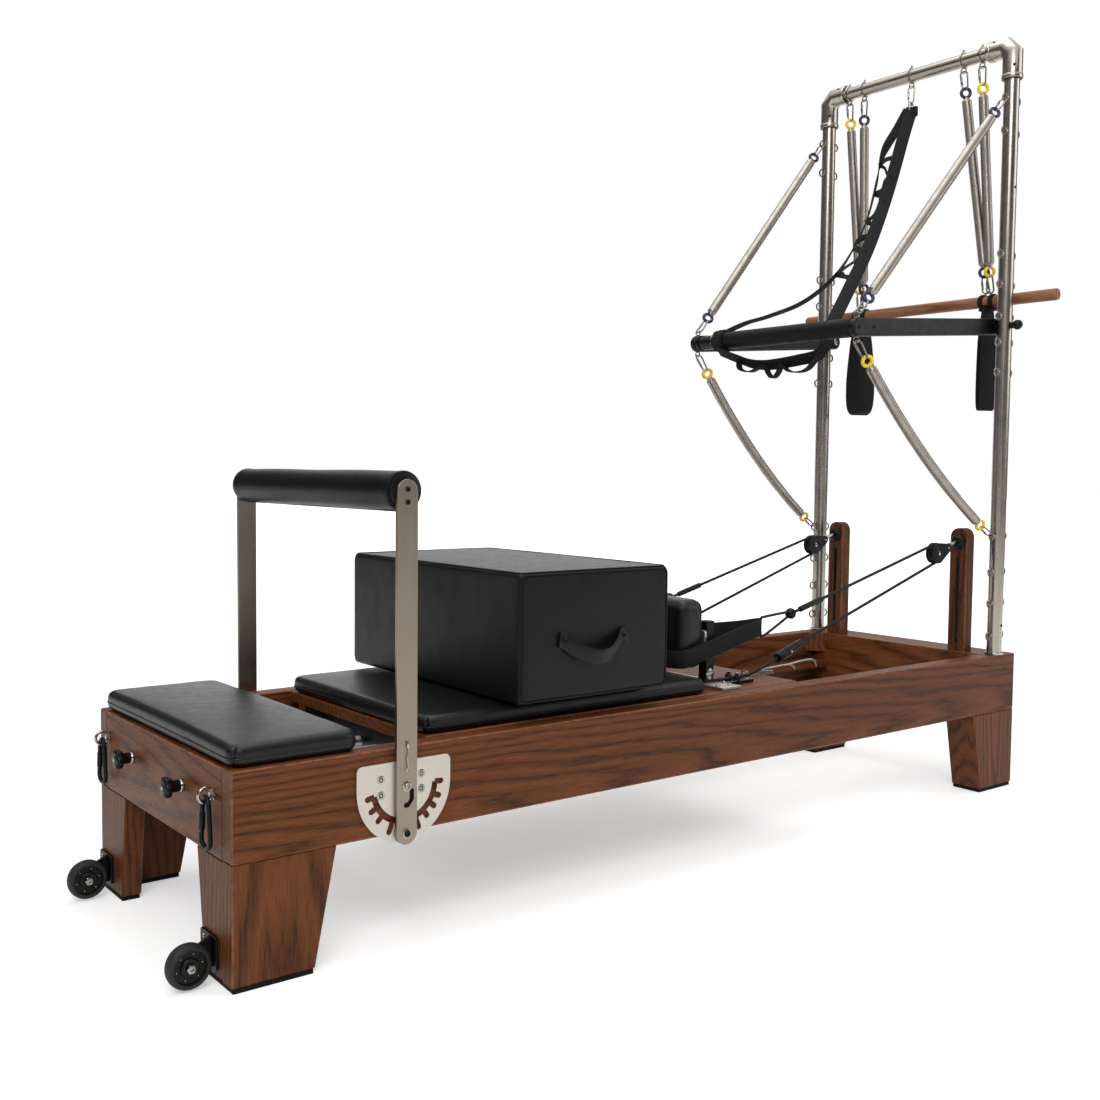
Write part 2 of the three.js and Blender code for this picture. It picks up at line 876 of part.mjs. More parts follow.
function carriagePad() {
  return cushion(
    [carriageStart, -carriageHalf, deckZ],
    [carriageEnd - carriagePadTail, carriageHalf, carriagePadTop],
    padEdge,
    padCrown,
    sideDraw,
  );
}

function shoulderRest(side) {
  const [low, high] = span(side * restOuter, side * (restOuter - restWidth));
  return cushion(
    [restFront, low, restLow],
    [restFront + restLength, high, restHigh],
    restEdge,
    sideDraw,
    0,
    2,
  );
}

// The steel bar across the carriage's head end, with the rest posts and the rope fittings
function headBar() {
  const bar = block(
    [restBack - headBarLead, -carriageHalf + runGap, deckZ],
    [restBack - headBarLead + headBarLength, carriageHalf - runGap, deckZ + headBarThick],
  );
  const sides = [near, far].map((side) => {
    const outer = side * restOuter;
    const postStart = restBack + restPlateThick;
    const [p0, p1] = span(outer, outer - side * restPost);
    const [q0, q1] = span(outer, outer - side * (restWidth - restPlateMargin));
    return [
      block([postStart, p0, deckZ], [postStart + restPost, p1, restPostTop]),
      block(
        [restBack, q0, restLow + restPlateMargin],
        [postStart + fitGap, q1, restPostTop - restPlateMargin],
      ),
      ropeFittings(side),
    ];
  });
  return join(bar, sides);
}

function ropeFittings(side) {
  const y = side * riserY;
  const base = block(
    [cleatStart, y - cleatWidth / 2, deckZ],
    [cleatStart + cleatLength, y + cleatWidth / 2, deckZ + cleatBase],
  );
  const cams = [-1, 1].map((hand) => {
    const at = [cleatStart + cleatLength / 2, y + hand * (ropeRadius + runGap + camRadius), deckZ];
    const profile = [
      [0, 0],
      [camRadius, 0],
      [camRadius, camHeight * camShare],
      [camRadius * camShare, camHeight],
      [0, camHeight],
    ];
    return turned(profile, at, [0, 0, 1], smallSides);
  });
  const [barLow, barHigh] = span(y, side * guideY);
  const bar = block(
    [cleatStart + cleatLength - headBarLead, barLow, deckZ],
    [cleatStart + cleatLength, barHigh, deckZ + cleatBase],
  );
  const guide = outline([
    [cleatStart + cleatLength - headBarLead, deckZ],
    [guideStart + guideLength, deckZ],
    [guideStart + guideLength - overrun, deckZ + guideHeight - overrun],
    [guideStart + guideLength / 3, deckZ + guideHeight],
    [guideStart, deckZ + overrun],
    [cleatStart + cleatLength - headBarLead, deckZ + overrun],
  ]);
  const [low, high] = span(side * guideY, side * (guideY - guideThick));
  const wires = bails.map((bail) =>
    tube(
      bail.map(fromCarriage).map(([x, z]) => [x, side * (guideY - guideThick / 2), z]),
      guideWire,
      bail.length,
    ),
  );
  return [base, cams, bar, slabY(guide, low, high), wires];
}

function carriageSprings() {
  const bracketX = carriageStart + springBracketThick;
  const reach = carriageHalf - cheekInset - cheekWidth - runGap;
  const bracket = block(
    [bracketX, -reach, springZ - carriageSpringRadius],
    [bracketX + springBracketThick, reach, railTop - boardThick - fitGap],
  );
  const hookX = springBarAt + springBarLength / 2;
  const hookRing = springPegRadius + springHookRadius + runGap;
  const springs = springY.map((y) => {
    const from = springBarAt + springBarLength + carriageSpringRadius;
    return [
      rod(carriageSpringRadius, [from, y, springZ], [bracketX + fitGap, y, springZ], smallSides),
      rod(springHookRadius, [hookX + hookRing, y, springZ], [from + overrun, y, springZ], wireSides),
      link([hookX - hookRing, y, springZ], [hookX + hookRing, y, springZ], [0, 1, 0], 2 * hookRing, springHookRadius),
    ];
  });
  return join(bracket, springs);
}

// Sitting box and its handles

function sittingBox() {
  return cushion(
    [boxStart, -boxWidth / 2, boxLow],
    [boxStart + boxLength, boxWidth / 2, boxLow + boxHeight],
    boxEdge,
    boxCrown,
    -boxCrown,
  );
}

function boxHandle(side) {
  const wall = boxWidth / 2 + boxCrown + fitGap;
  const face = wall + handleStandoff;
  const stations = 8;
  const points = Array.from({ length: stations + 1 }, (_, i) => {
    const share = (2 * i) / stations - 1;
    const drop = 1 - share ** 2;
    return [
      handleX + (share * handleSpan) / 2,
      side * (face + handleThick / 2 + handleBow * drop),
      handleTop - handleSag * drop,
    ];
  });
  const wide = points.map((_, i) => [0, side * handleTilt * Math.sin((Math.PI * i) / stations), 1]);
  const screws = [points[0], points[stations]].map(([x, , z]) =>
    rod(handleScrewRadius, [x, side * wall, z], [x, side * (face + 2 * handleThick), z], smallSides),
  );
  return join(band(points, wide, handleWidth, handleThick), screws);
}

// Footbar

// A point on the slotted plate at an angle from straight down
function onPlate(degrees, radius, aside = 0) {
  const angle = (degrees * Math.PI) / 180;
  return [
    pivotX + radius * Math.sin(angle) + aside * Math.cos(angle),
    pivotZ - radius * Math.cos(angle) + aside * Math.sin(angle),
  ];
}

function quadrantPlate(side) {
  const shape = new THREE.Shape();
  shape.moveTo(pivotX - plateHalf, pivotZ + plateRise - plateCorner);
  shape.absarc(
    pivotX - plateHalf + plateCorner,
    pivotZ + plateRise - plateCorner,
    plateCorner,
    Math.PI,
    Math.PI / 2,
    true,
  );
  shape.absarc(
    pivotX + plateHalf - plateCorner,
    pivotZ + plateRise - plateCorner,
    plateCorner,
    Math.PI / 2,
    0,
    true,
  );
  shape.absellipse(pivotX, pivotZ, plateHalf, plateDrop, 0, -Math.PI, true);
  const [low, high] = span(side * plateY, side * (plateY + plateThick));
  const through = (points) => slabY(outline(points), low - overrun, high + overrun);
  const hole = ([x, z], radius) => rod(radius, [x, low - overrun, z], [x, high + overrun, z], smallSides);
  const steps = 12;
  const arc = (radius) =>
    Array.from({ length: steps + 1 }, (_, i) =>
      onPlate(slotEnds[0] + ((slotEnds[1] - slotEnds[0]) * i) / steps, radius),
    );
  const notch = (degrees, reach) => [
    through([
      onPlate(degrees, slotRadius, -notchHalf),
      onPlate(degrees, reach, -notchHalf),
      onPlate(degrees, reach, notchHalf),
      onPlate(degrees, slotRadius, notchHalf),
    ]),
    hole(onPlate(degrees, reach), notchHalf),
  ];
  return cut(
    slabY(shape, low, high, 0, 8),
    through([...arc(slotRadius + slotHalf), ...arc(slotRadius - slotHalf).toReversed()]),
    notchAngles.map((degrees) => notch(degrees, notchReach)),
    deepNotchAngles.map((degrees) => notch(degrees, deepNotchReach)),
    slotEnds.map((degrees) => notch(degrees, endHoleRadius)),
    hole([pivotX, pivotZ], bored(pivotBoltRadius, smallSides)),
    plateScrews.map(([x, z]) => hole([pivotX + x, pivotZ + z], plateScrewRadius)),
  );
}

function footbarArm(side) {
  const half = armWidth / 2;
  const shape = new THREE.Shape();
  shape.absarc(pivotX, rollerZ, half, 0, Math.PI, false);
  shape.absarc(pivotX, pivotZ - armTail + half, half, Math.PI, 2 * Math.PI, false);
  const outer = armY + armThick;
  const bolt = (radius, z, from) => [
    rod(radius, [pivotX, side * from, z], [pivotX, side * outer, z], smallSides),
    turned(
      [[0, -fitGap], [boltHead, -fitGap], [boltHead, boltHeadHeight / 2], [boltHead * 0.6, boltHeadHeight], [0, boltHeadHeight]],
      [pivotX, side * outer, z],
      [0, side, 0],
      smallSides,
    ),
  ];
  return join(
    slabY(shape, ...span(side * armY, side * outer), 0, 8),
    bolt(pivotBoltRadius, pivotZ, plateY),
    bolt(lockPinRadius, onPlate(0, deepNotchReach)[1], armY),
  );
}

function footbarTube() {
  const half = armY - fitGap;
  const caps = [near, far].map((side) =>
    rod(rollerCap, [pivotX, side * half, rollerZ], [pivotX, side * (half - rollerCapThick), rollerZ], roundSides),
  );
  return join(rod(rollerCore, [pivotX, -half, rollerZ], [pivotX, half, rollerZ], roundSides), caps);
}

function footbarPad() {
  const half = armY - rollerCapThick - 2 * fitGap;
  const soft = rollerRadius - rollerCap;
  const bore = rollerCore + fitGap;
  const profile = [
    [bore, -half],
    [rollerCap, -half],
    [rollerRadius, -half + soft],
    [rollerRadius - rollerWaist, -half / 2],
    [rollerRadius, 0],
    [rollerRadius - rollerWaist, half / 2],
    [rollerRadius, half - soft],
    [rollerCap, half],
    [bore, half],
    [bore, -half],
  ];
  return turned(profile, [pivotX, 0, rollerZ], [0, 1, 0]);
}

// Transport wheels, each on a bracket with one cheek

function wheelBracket(side) {
  const y = side * transportY;
  const plate = block([-fitGap - bracketThick, y - bracketBack, bracketLow], [-fitGap, y + bracketReach, bracketHigh]);
  const cheekY = y + transportWidth / 2 + runGap;
  const shape = new THREE.Shape();
  shape.moveTo(-fitGap - bracketThick / 2, bracketLow);
  shape.lineTo(transportX + transportHub / 2, transportZ - transportHub);
  shape.absarc(transportX, transportZ, transportHub, -Math.PI / 3, Math.PI / 2, true);
  shape.lineTo(-fitGap - bracketThick / 2, bracketHigh);
  const cheek = slabY(shape, cheekY, cheekY + 2 * bracketThick);
  const head = y - transportWidth / 2 - runGap;
  return join(
    plate,
    cheek,
    rod(transportAxle, [transportX, head - runGap, transportZ], [transportX, cheekY + runGap, transportZ], smallSides),
    rod(transportAxle * 1.7, [transportX, head, transportZ], [transportX, head - 2 * runGap, transportZ], wireSides),
  );
}

function transportWheel(side) {
  const half = transportWidth / 2;
  const bore = transportAxle + fitGap;
  const dish = half / 2;
  const wall = (hand) => [
    [bore, hand * half],
    [transportHub, hand * half],
    [transportHub, hand * dish],
    [transportRim, hand * dish],
    [transportRim, hand * half],
    [transportLip, hand * half],
    [transportRadius, hand * dish],
  ];
  return turned(
    [...wall(-1), ...wall(1).toReversed(), [bore, -half]],
    [transportX, side * transportY, transportZ],
    [0, 1, 0],
  );
}

function snapHook(y) {
  const x = -eyeRadius - eyeWire / 2;
  const top = eyeZ - eyeRadius * Math.cos(Math.PI / ringSteps) + eyeWire + snapWire + snapPlay;
  return link([x, y, top], [x, y, top - snapLength], [0, 1, 0], snapWidth, snapWire, snapTaper, hookSteps);
}

function footKnob(y) {
  const count = knobLobes * 4;
  const rim = Array.from({ length: count }, (_, i) => {
    const angle = (2 * Math.PI * i) / count;
    const radius = knobRadius - (knobLobeDepth * (1 - Math.cos(knobLobes * angle))) / 2;
    return [y + radius * Math.cos(angle), knobZ + radius * Math.sin(angle)];
  });
  return join(
    slabX(outline(rim), -knobFace, -knobFace + knobThick, easedEdge),
    rod(knobHub, [-knobFace + knobThick / 2, y, knobZ], [-2 * knobCollarThick, y, knobZ], smallSides),
    rod(knobCollar, [-fitGap - 2 * knobCollarThick, y, knobZ], [-fitGap, y, knobZ], smallSides),
    rod(knobStemRadius, [-knobCollarThick, y, knobZ], [railThick + overrun, y, knobZ], smallSides),
  );
}

// Tower

function towerPost(side) {
  const y = side * postY;
  const top = towerTop - elbowRadius;
  const foot = railTop + fitGap;
  const bore = postRadius - postWall;
  const wall = [[bore, foot], [postRadius, foot], [postRadius, top], [bore, top], [bore, foot]];
  const eyes = eyeletZ.map((z) =>
    [-1, 1].map((hand) => ringXZ([postX + hand * eyeletReach, y, z], eyeletRadius, eyeletWire)),
  );
  return cut(
    join(
      turned(wall, [postX, y, 0], [0, 0, 1], tubeSides),
      rod(spigotRadius, [postX, y, railTop - spigotLength + fitGap], [postX, y, foot + overrun]),
      rod(bore + fitGap, [postX, y, foot], [postX, y, foot + 2 * overrun]),
      eyes,
    ),
    rod(
      bored(barPinRadius, smallSides),
      [postX, y - 2 * postRadius, barPivotZ],
      [postX, y + 2 * postRadius, barPivotZ],
      smallSides,
    ),
  );
}

// The top tube with its two chamfered corner fittings and the hooks that hang from it
function topTube() {
  const elbows = [near, far].map((side) => {
    const y = side * postY;
    const socket = towerTop - elbowDrop;
    const inner = y - side * elbowRadius;
    const profile = outline([
      [y + side * elbowRadius, socket],
      [y + side * elbowRadius, towerTop + elbowRadius - elbowChamfer],
      [y + side * (elbowRadius - elbowChamfer), towerTop + elbowRadius],
      [y - side * elbowReach, towerTop + elbowRadius],
      [y - side * elbowReach, towerTop - elbowRadius],
      [inner - side * overrun, towerTop - elbowRadius],
      [inner, towerTop - elbowRadius - overrun],
      [inner, socket],
    ]);
    const round = solid(slabX(profile, postX - elbowRadius, postX + elbowRadius)).intersect(
      join(
        rod(elbowRadius, [postX, y, socket], [postX, y, towerTop + elbowRadius]),
        rod(elbowRadius, [postX, y - side * elbowReach, towerTop], [postX, y + side * elbowRadius, towerTop]),
      ),
    );
    const rims = [
      rod(elbowRim, [postX, y, socket - overrun], [postX, y, socket + overrun]),
      rod(elbowRim, [postX, y - side * elbowReach, towerTop], [postX, y - side * (elbowReach - 2 * overrun), towerTop]),
    ];
    return cut(
      join(round, rims),
      rod(postRadius + fitGap, [postX, y, socket - 2 * overrun], [postX, y, towerTop - elbowRadius + fitGap]),
    );
  });
  const hangers = [...hangerY.far, hangerY.strap, ...hangerY.near].map((y) => [
    rod(topTubeRadius + hangerWire, [postX, y - hangerWire, towerTop], [postX, y + hangerWire, towerTop], smallSides),
    rod(hangerWire, [postX, y, towerTop], [postX, y, towerTop + topTubeRadius + hangerStub], ringSides),
    ringUpright([postX, y, hangerEyeZ], smallEye, eyeletWire),
  ]);
  return join(rod(topTubeRadius, [postX, -postY, towerTop], [postX, postY, towerTop]), elbows, hangers);
}

// Risers and pulleys

function riser(side) {
  const half = riserWidth / 2;
  const slotHalfWidth = riserSlotWidth / 2;
  const shape = new THREE.Shape();
  shape.moveTo(-half, railTop + fitGap);
  shape.lineTo(half, railTop + fitGap);
  shape.absarc(0, riserTopZ - half, half, 0, Math.PI, false);
  const slot = new THREE.Path();
  slot.absarc(0, riserSlotTop - slotHalfWidth, slotHalfWidth, 0, Math.PI, false);
  slot.absarc(0, riserSlotBottom + slotHalfWidth, slotHalfWidth, Math.PI, 2 * Math.PI, false);
  const bolt = new THREE.Path();
  bolt.absarc(0, bossZ, bossBolt + fitGap, 0, 2 * Math.PI, true);
  shape.holes.push(slot, bolt);
  return slabX(shape, riserX, riserX + riserThick, 0, 6).translate(0, side * riserY, 0);
}

function pulleyBlock(side) {
  const y = side * riserY;
  const half = sheaveWidth / 2 + runGap;
  const away = new THREE.Vector3(bossFront - pulleyX, 0, bossZ - pulleyZ);
  const reach = away.length();
  away.normalize();
  const at = (d, aside) => [pulleyX + away.x * d, y + aside, pulleyZ + away.z * d];
  const tilt = Math.atan2(away.z, away.x);
  const lean = Math.asin((blockRadius - blockNose) / blockNoseAt);
  const shape = new THREE.Shape();
  shape.absarc(0, 0, blockRadius, Math.PI / 2 - lean, 1.5 * Math.PI + lean, false);
  shape.absarc(blockNoseAt, 0, blockNose, -Math.PI / 2 + lean, Math.PI / 2 - lean, false);
  const cheeks = [-1, 1].map((hand) => {
    const [low, high] = span(hand * half, hand * (half + blockCheek));
    return slabY(shape, low, high).rotateY(-tilt).translate(pulleyX, y, pulleyZ);
  });
  const backFace = riserX + riserThick + fitGap;
  return join(
    cheeks,
    rod(blockNose, at(blockNoseAt, -half - fitGap), at(blockNoseAt, half + fitGap), smallSides),
    rod(blockStem, at(blockNoseAt, 0), at(reach + overrun, 0), smallSides),
    rod(sheaveBore, at(0, -half - 1.5 * blockCheek), at(0, half + 1.5 * blockCheek), smallSides),
    turned(
      [[0, 0], [bossFace, 0], [bossRadius, bossLength / 2], [bossRadius, bossLength], [0, bossLength]],
      [bossFront, y, bossZ],
      [1, 0, 0],
    ),
    rod(bossBolt, [bossFront + overrun, y, bossZ], [backFace + overrun, y, bossZ], smallSides),
    rod(bossKnob, [backFace, y, bossZ], [backFace + bossKnobLength, y, bossZ], smallSides, bossKnob * camShare),
  );
}

function sheave(side) {
  const half = sheaveWidth / 2;
  const bore = sheaveBore + fitGap;
  const groove = sheaveRadius - sheaveGroove;
  const profile = [
    [bore, -half],
    [sheaveRadius, -half],
    [groove, -half / 3],
    [groove, half / 3],
    [sheaveRadius, half],
    [bore, half],
    [bore, -half],
  ];
  return turned(profile, [pulleyX, side * riserY, pulleyZ], [0, 1, 0]);
}

// Each rope runs from its cleat on the carriage round the sheave to a ring and a webbing loop on the rest
function rope(side) {
  const y = side * riserY;
  const groove = sheaveRadius - sheaveGroove + ropeRadius;
  // The angle on the sheave at which a straight run from a point touches it
  const touch = ([x, z], hand) => {
    const away = Math.hypot(x - pulleyX, z - pulleyZ);
    return Math.atan2(z - pulleyZ, x - pulleyX) + hand * Math.acos(groove / away);
  };
  const first = touch(lockLine[1], 1);
  const last = touch(sleeveLine[0], -1) + 2 * Math.PI;
  const turnStep = (last - first) / ropeTurnSteps;
  const round = groove / Math.cos(turnStep / 2);
  const turn = (angle) => [pulleyX + round * Math.cos(angle), pulleyZ + round * Math.sin(angle)];
  const leadTo = ([x0, z0], [x1, z1]) => {
    const share = ropeLead / Math.hypot(x1 - x0, z1 - z0);
    return [x0 + (x1 - x0) * share, z0 + (z1 - z0) * share];
  };
  const around = Array.from({ length: ropeTurnSteps + 1 }, (_, i) => turn(first + turnStep * i));
  const route = [
    ...cleatLine,
    ...lockLine,
    leadTo(around[0], lockLine[1]),
    ...around,
    leadTo(around.at(-1), sleeveLine[0]),
    ...sleeveLine,
    ballPlace,
  ].map(([x, z]) => [x, y, z]);
  const between = ([[x0, z0], [x1, z1]], radius, end = radius) => rod(radius, [x0, y, z0], [x1, y, z1], smallSides, end);
  const [ringX, ringZ] = fromCarriage(triangleAt);
  const triangle = [-1, 1].map((hand) =>
    rod(triangleWire, [ballPlace[0], y, ballPlace[1]], [ringX, y, ringZ + (hand * loopBand) / 2], wireSides),
  );
  const cross = rod(
    triangleWire,
    [ringX, y, ringZ - loopBand / 2 - triangleWire],
    [ringX, y, ringZ + loopBand / 2 + triangleWire],
    wireSides,
  );
  const loop = smooth(
    loopRoute.map(([x, aside, z]) => [carriageEnd + x, side * aside, railTop + z]),
    22,
    true,
  );
  return join(
    cord(route, [0, 1, 0], ropeRadius),
    between(lockLine, lockRadius, lockTip),
    between(sleeveLine, sleeveRadius),
    ball(ballRadius, [ballPlace[0], y, ballPlace[1]]),
    triangle,
    cross,
    band(loop, [0, 0, 1], loopBand, loopBandThick, true),
  );
}

// Push-through bar

function pushThroughBar() {
  const half = barArmHeight / 2;
  const slope = Math.atan2(barDrop, barReach);
  const length = Math.hypot(barReach, barDrop);
  const shape = new THREE.Shape();
  shape.absarc(0, 0, half, -Math.PI / 2, Math.PI / 2, false);
  shape.absarc(-length, 0, half, Math.PI / 2, 1.5 * Math.PI, false);
  const sides = [near, far].map((side) => {
    const inner = side * (barArmY - barArmThick / 2);
    const outer = side * (barArmY + barArmThick / 2);
    const postFace = side * (postY + postRadius + fitGap);
    const eyes = [-1, 1].map((hand) => {
      const z = barZ + hand * barEyeGap;
      return ringUpright([barX, side * barArmY, z], smallEye, eyeletWire);
    });
    return [
      slabY(shape, ...span(inner, outer)).rotateY(-slope).translate(postX, 0, barPivotZ),
      rod(barPinRadius, [postX, inner, barPivotZ], [postX, postFace + side * barPinNeck, barPivotZ], smallSides),
      rod(barHubRadius, [postX, outer - side * fitGap, barPivotZ], [postX, side * (postY - postRadius - fitGap), barPivotZ]),
      rod(barPinRadius * 1.5, [postX, postFace, barPivotZ], [postX, postFace + side * barPinNeck, barPivotZ], smallSides),
      ball(barPinKnob, [postX, postFace + side * (barPinNeck + barPinKnob / 2), barPivotZ]),
      eyes,
    ];
  });
  return join(
    sides,
    rod(barTubeRadius, [barX, -barArmY, barZ], [barX, barArmY, barZ]),
    rod(barGripRadius, [barX, -barArmY, barZ], [barX, barGripEnd, barZ]),
  );
}

// A spring between two eyes, with a ring and a snap clip at each end; it may sag
function springChain(endA, endB, sag = 0) {
  const [a, b] = [vector(endA.at), vector(endB.at)];
  const length = a.distanceTo(b);
  const place = (d) => {
    const share = d / length;
    const bow = 4 * share * (1 - share);
    return a.clone().lerp(b, share).add(new THREE.Vector3(-sagSlant * bow * Math.sign(sag), 0, -sag * bow)).toArray();
  };
  const clipEnd = clipLength - 2 * clipWire;
  const ringEnd = clipEnd + 2 * linkRadius;
  const tail = ringEnd + springTaper;
  const ends = [endA, endB].map((end, i) => {
    const from = seat(end.radius, end.wire);
    const at = (d) => place(i ? length - from - d : from + d);
    return [
      link(at(0), at(clipLength), [0, 1, 0], clipWidth, clipWire, clipTaper, clipSteps),
      link(at(clipEnd), at(ringEnd), [at(1)[2] - at(0)[2], 0, at(0)[0] - at(1)[0]], 2 * linkRadius, linkWire),
      sag ? rod(springNeck, at(ringEnd - linkWire), at(tail), wireSides, springRadius) : [],
    ];
  });
  const [first, last] = [
    seat(endA.radius, endA.wire) + tail - fitGap,
    length - seat(endB.radius, endB.wire) - tail + fitGap,
  ];
  if (!sag) {
    const profile = [
      [0, first - springTaper - linkWire],
      [springNeck, first - springTaper - linkWire],
      [springRadius, first],
      [springRadius, last],
      [springNeck, last + springTaper + linkWire],
      [0, last + springTaper + linkWire],
    ];
    return [turned(profile, endA.at, b.clone().sub(a).normalize().toArray(), smallSides), ends];
  }
  const points = Array.from({ length: 9 }, (_, i) => place(first + ((last - first) * i) / 8));
  return [tube(points, springRadius, 8, smallSides), ends];
}

function armSpring(side, hand) {
  const z = eyeletZ[hand > 0 ? upperSpringEyelet : lowerSpringEyelet];
  const onBar = {
    at: [barX, side * barArmY, barZ + hand * barEyeGap],
    radius: smallEye,
    wire: eyeletWire,
  };
  const onPost = { at: [postX - eyeletReach, side * postY, z], radius: eyeletRadius, wire: eyeletWire };
  return join(springChain(onBar, onPost, hand > 0 ? 0 : lowerSag));
}

// Each pair of roll-down springs hangs from two hooks and meets in one eye on the bar
function rollDownSprings(where) {
  const foot = { at: [dowelX, dowelEyeY[where], dowelEyeZ], radius: smallEye, wire: eyeletWire };
  return join(
    hangerY[where].map((y) => springChain({ at: [postX, y, hangerEyeZ], radius: smallEye, wire: eyeletWire }, foot)),
  );
}

function dowel() {
  const soft = dowelRadius / 4;
  const profile = [
    [0, -dowelHalf],
    [dowelRadius - soft, -dowelHalf],
    [dowelRadius, -dowelHalf + soft],
    [dowelRadius, dowelHalf - soft],
    [dowelRadius - soft, dowelHalf],
    [0, dowelHalf],
  ];
  const eyes = Object.values(dowelEyeY).map((y) => ringUpright([dowelX, y, dowelEyeZ], smallEye, eyeletWire));
  return join(turned(profile, [dowelX, 0, dowelZ], [0, 1, 0]), eyes);
}

// A foot loop: two collars on the bar, a knot under it, and an open loop of webbing
function footLoop(where) {
  const y = footLoopY[where];
  const half = footLoopHalf[where];
  const bore = bored(dowelRadius, roundSides);
  const outer = bore + loopCollarThick;
  const collars = [-1, 1].map((hand) => {
    const edge = loopCollar / 2;
    const profile = [[bore, -edge], [outer, -edge], [outer, edge], [bore, edge], [bore, -edge]];
    return turned(profile, [dowelX, y + hand * loopCollarAt, dowelZ], [0, 1, 0]);
  });
  const reach = loopCollarAt + loopCollar / 2;
  const top = dowelZ - bore - fitGap;
  const knot = block(
    [dowelX - footLoopBand / 4, y - reach, top - 2 * loopCollarThick],
    [dowelX + footLoopBand / 4, y + reach, top],
  );
  const route = [[0.12, 0.01], [0.75, 0.4], [1, 0.7], [0.78, 0.93], [0, 1]].map(([out, down]) => [
    out * half,
    top - loopCollarThick - down * (footLoopDrop - dowelRadius - loopCollarThick),
  ]);
  const loop = [
    ...route.map(([out, z]) => [dowelX, y + out, z]),
    ...route.slice(0, -1).toReversed().map(([out, z]) => [dowelX, y - out, z]),
  ];
  return join(collars, knot, band(smooth(loop, 20, true), [1, 0, 0], footLoopBand, footLoopThick, true));
}

// The strap of loops, from its clip on the top tube to the wrap on the push-through bar
function loopStrap() {
  const eye = hangerEyeZ - seat(smallEye, eyeletWire);
  const narrow = narrowRun.map(fromPosts);
  const wide = wideRun.map(fromPosts);
  const clip = link(
    [postX, hangerY.strap, eye],
    [postX, hangerY.strap, eye - clipLength],
    [0, 1, 0],
    clipWidth,
    clipWire,
    clipTaper,
    clipSteps,
  );
  const loop = link(
    [postX, hangerY.strap, eye - clipLength + 2 * clipWire],
    [postX, hangerY.strap, narrow[0][2] - overrun],
    [1, 0, 0],
    2 * smallEye,
    2 * clipWire,
  );
  const bore = barGripRadius + fitGap;
  const profile = [
    [bore, -wrapHalf],
    [wrapRadius, -wrapHalf],
    [wrapRadius, wrapHalf],
    [bore, wrapHalf],
    [bore, -wrapHalf],
  ];
  const wrap = turned(profile, [barX, wrapAt, barZ], [0, 1, 0], tubeSides);
  const run = smooth(wide, 22);
  const turnOver = run.map(([x]) => (x > wide[6][0] ? [0, 1, 0] : [1, 0, -1]));
  return join(
    clip,
    loop,
    wrap,
    band(smooth(narrow, 14), [0, 1, 0], strapNarrow, strapThick),
    band(run, turnOver, strapBand, strapThick),
    band(smooth(tangle.map(fromPosts), 20), [0, 1, 0], strapNarrow, strapThick),
    festoons.map((points) => band(smooth(points.map(fromPosts), 6), [1, 0, 0], strapNarrow, strapThick)),
  );
}

// Finishes and the assembly

const finishes = {
  wood: { color: 0x6b4433, roughness: 0.55, metalness: 0 },
  paleWood: { color: 0xa5694a, roughness: 0.5, metalness: 0 },
  leatherette: { color: 0x2e2e2f, roughness: 0.45, metalness: 0 },
  rubber: { color: 0x151515, roughness: 0.8, metalness: 0 },
  blackPaint: { color: 0x1c1d1d, roughness: 0.4, metalness: 0.3 },
  blackPlastic: { color: 0x18181a, roughness: 0.5, metalness: 0 },
  steel: { color: 0xb5aca0, roughness: 0.35, metalness: 1 },
  webbing: { color: 0x161617, roughness: 0.9, metalness: 0 },
};

const sides = { near, far };
const unit = new THREE.Group();
unit.name = "pilates_tower_unit";
const middle = (frameLength + transportX - transportRadius) / 2;

function add(name, body, finish) {
  const mesh = new THREE.Mesh(toGeometry(body), new THREE.MeshStandardMaterial(finishes[finish]));
  mesh.name = name;
  mesh.position.set(-middle, 0, 0);
  unit.add(mesh);
}

add("foot_board", footBoard(), "wood");
add("head_board", endBoard(frameLength - railThick, frameLength), "wood");
add("head_deck", headDeck(), "wood");
add("platform_board", platformBoard(), "wood");
add("platform_pad", platformPad(), "leatherette");
add("spring_bar", springBar(), "steel");
add("carriage_board", carriageBoard(), "wood");
add("carriage_pad", carriagePad(), "leatherette");
add("carriage_head_bar", headBar(), "blackPaint");
add("carriage_wheelset_front", wheelset(carriageAxleX[0]), "blackPlastic");
add("carriage_wheelset_rear", wheelset(carriageAxleX[1]), "blackPlastic");
add("carriage_springs", carriageSprings(), "steel");
add("sitting_box", sittingBox(), "leatherette");
add("footbar_tube", footbarTube(), "steel");
add("footbar_pad", footbarPad(), "leatherette");
add("tower_top_tube", topTube(), "steel");
add("push_through_bar", pushThroughBar(), "steel");
add("roll_down_dowel", dowel(), "paleWood");
add("loop_strap", loopStrap(), "webbing");
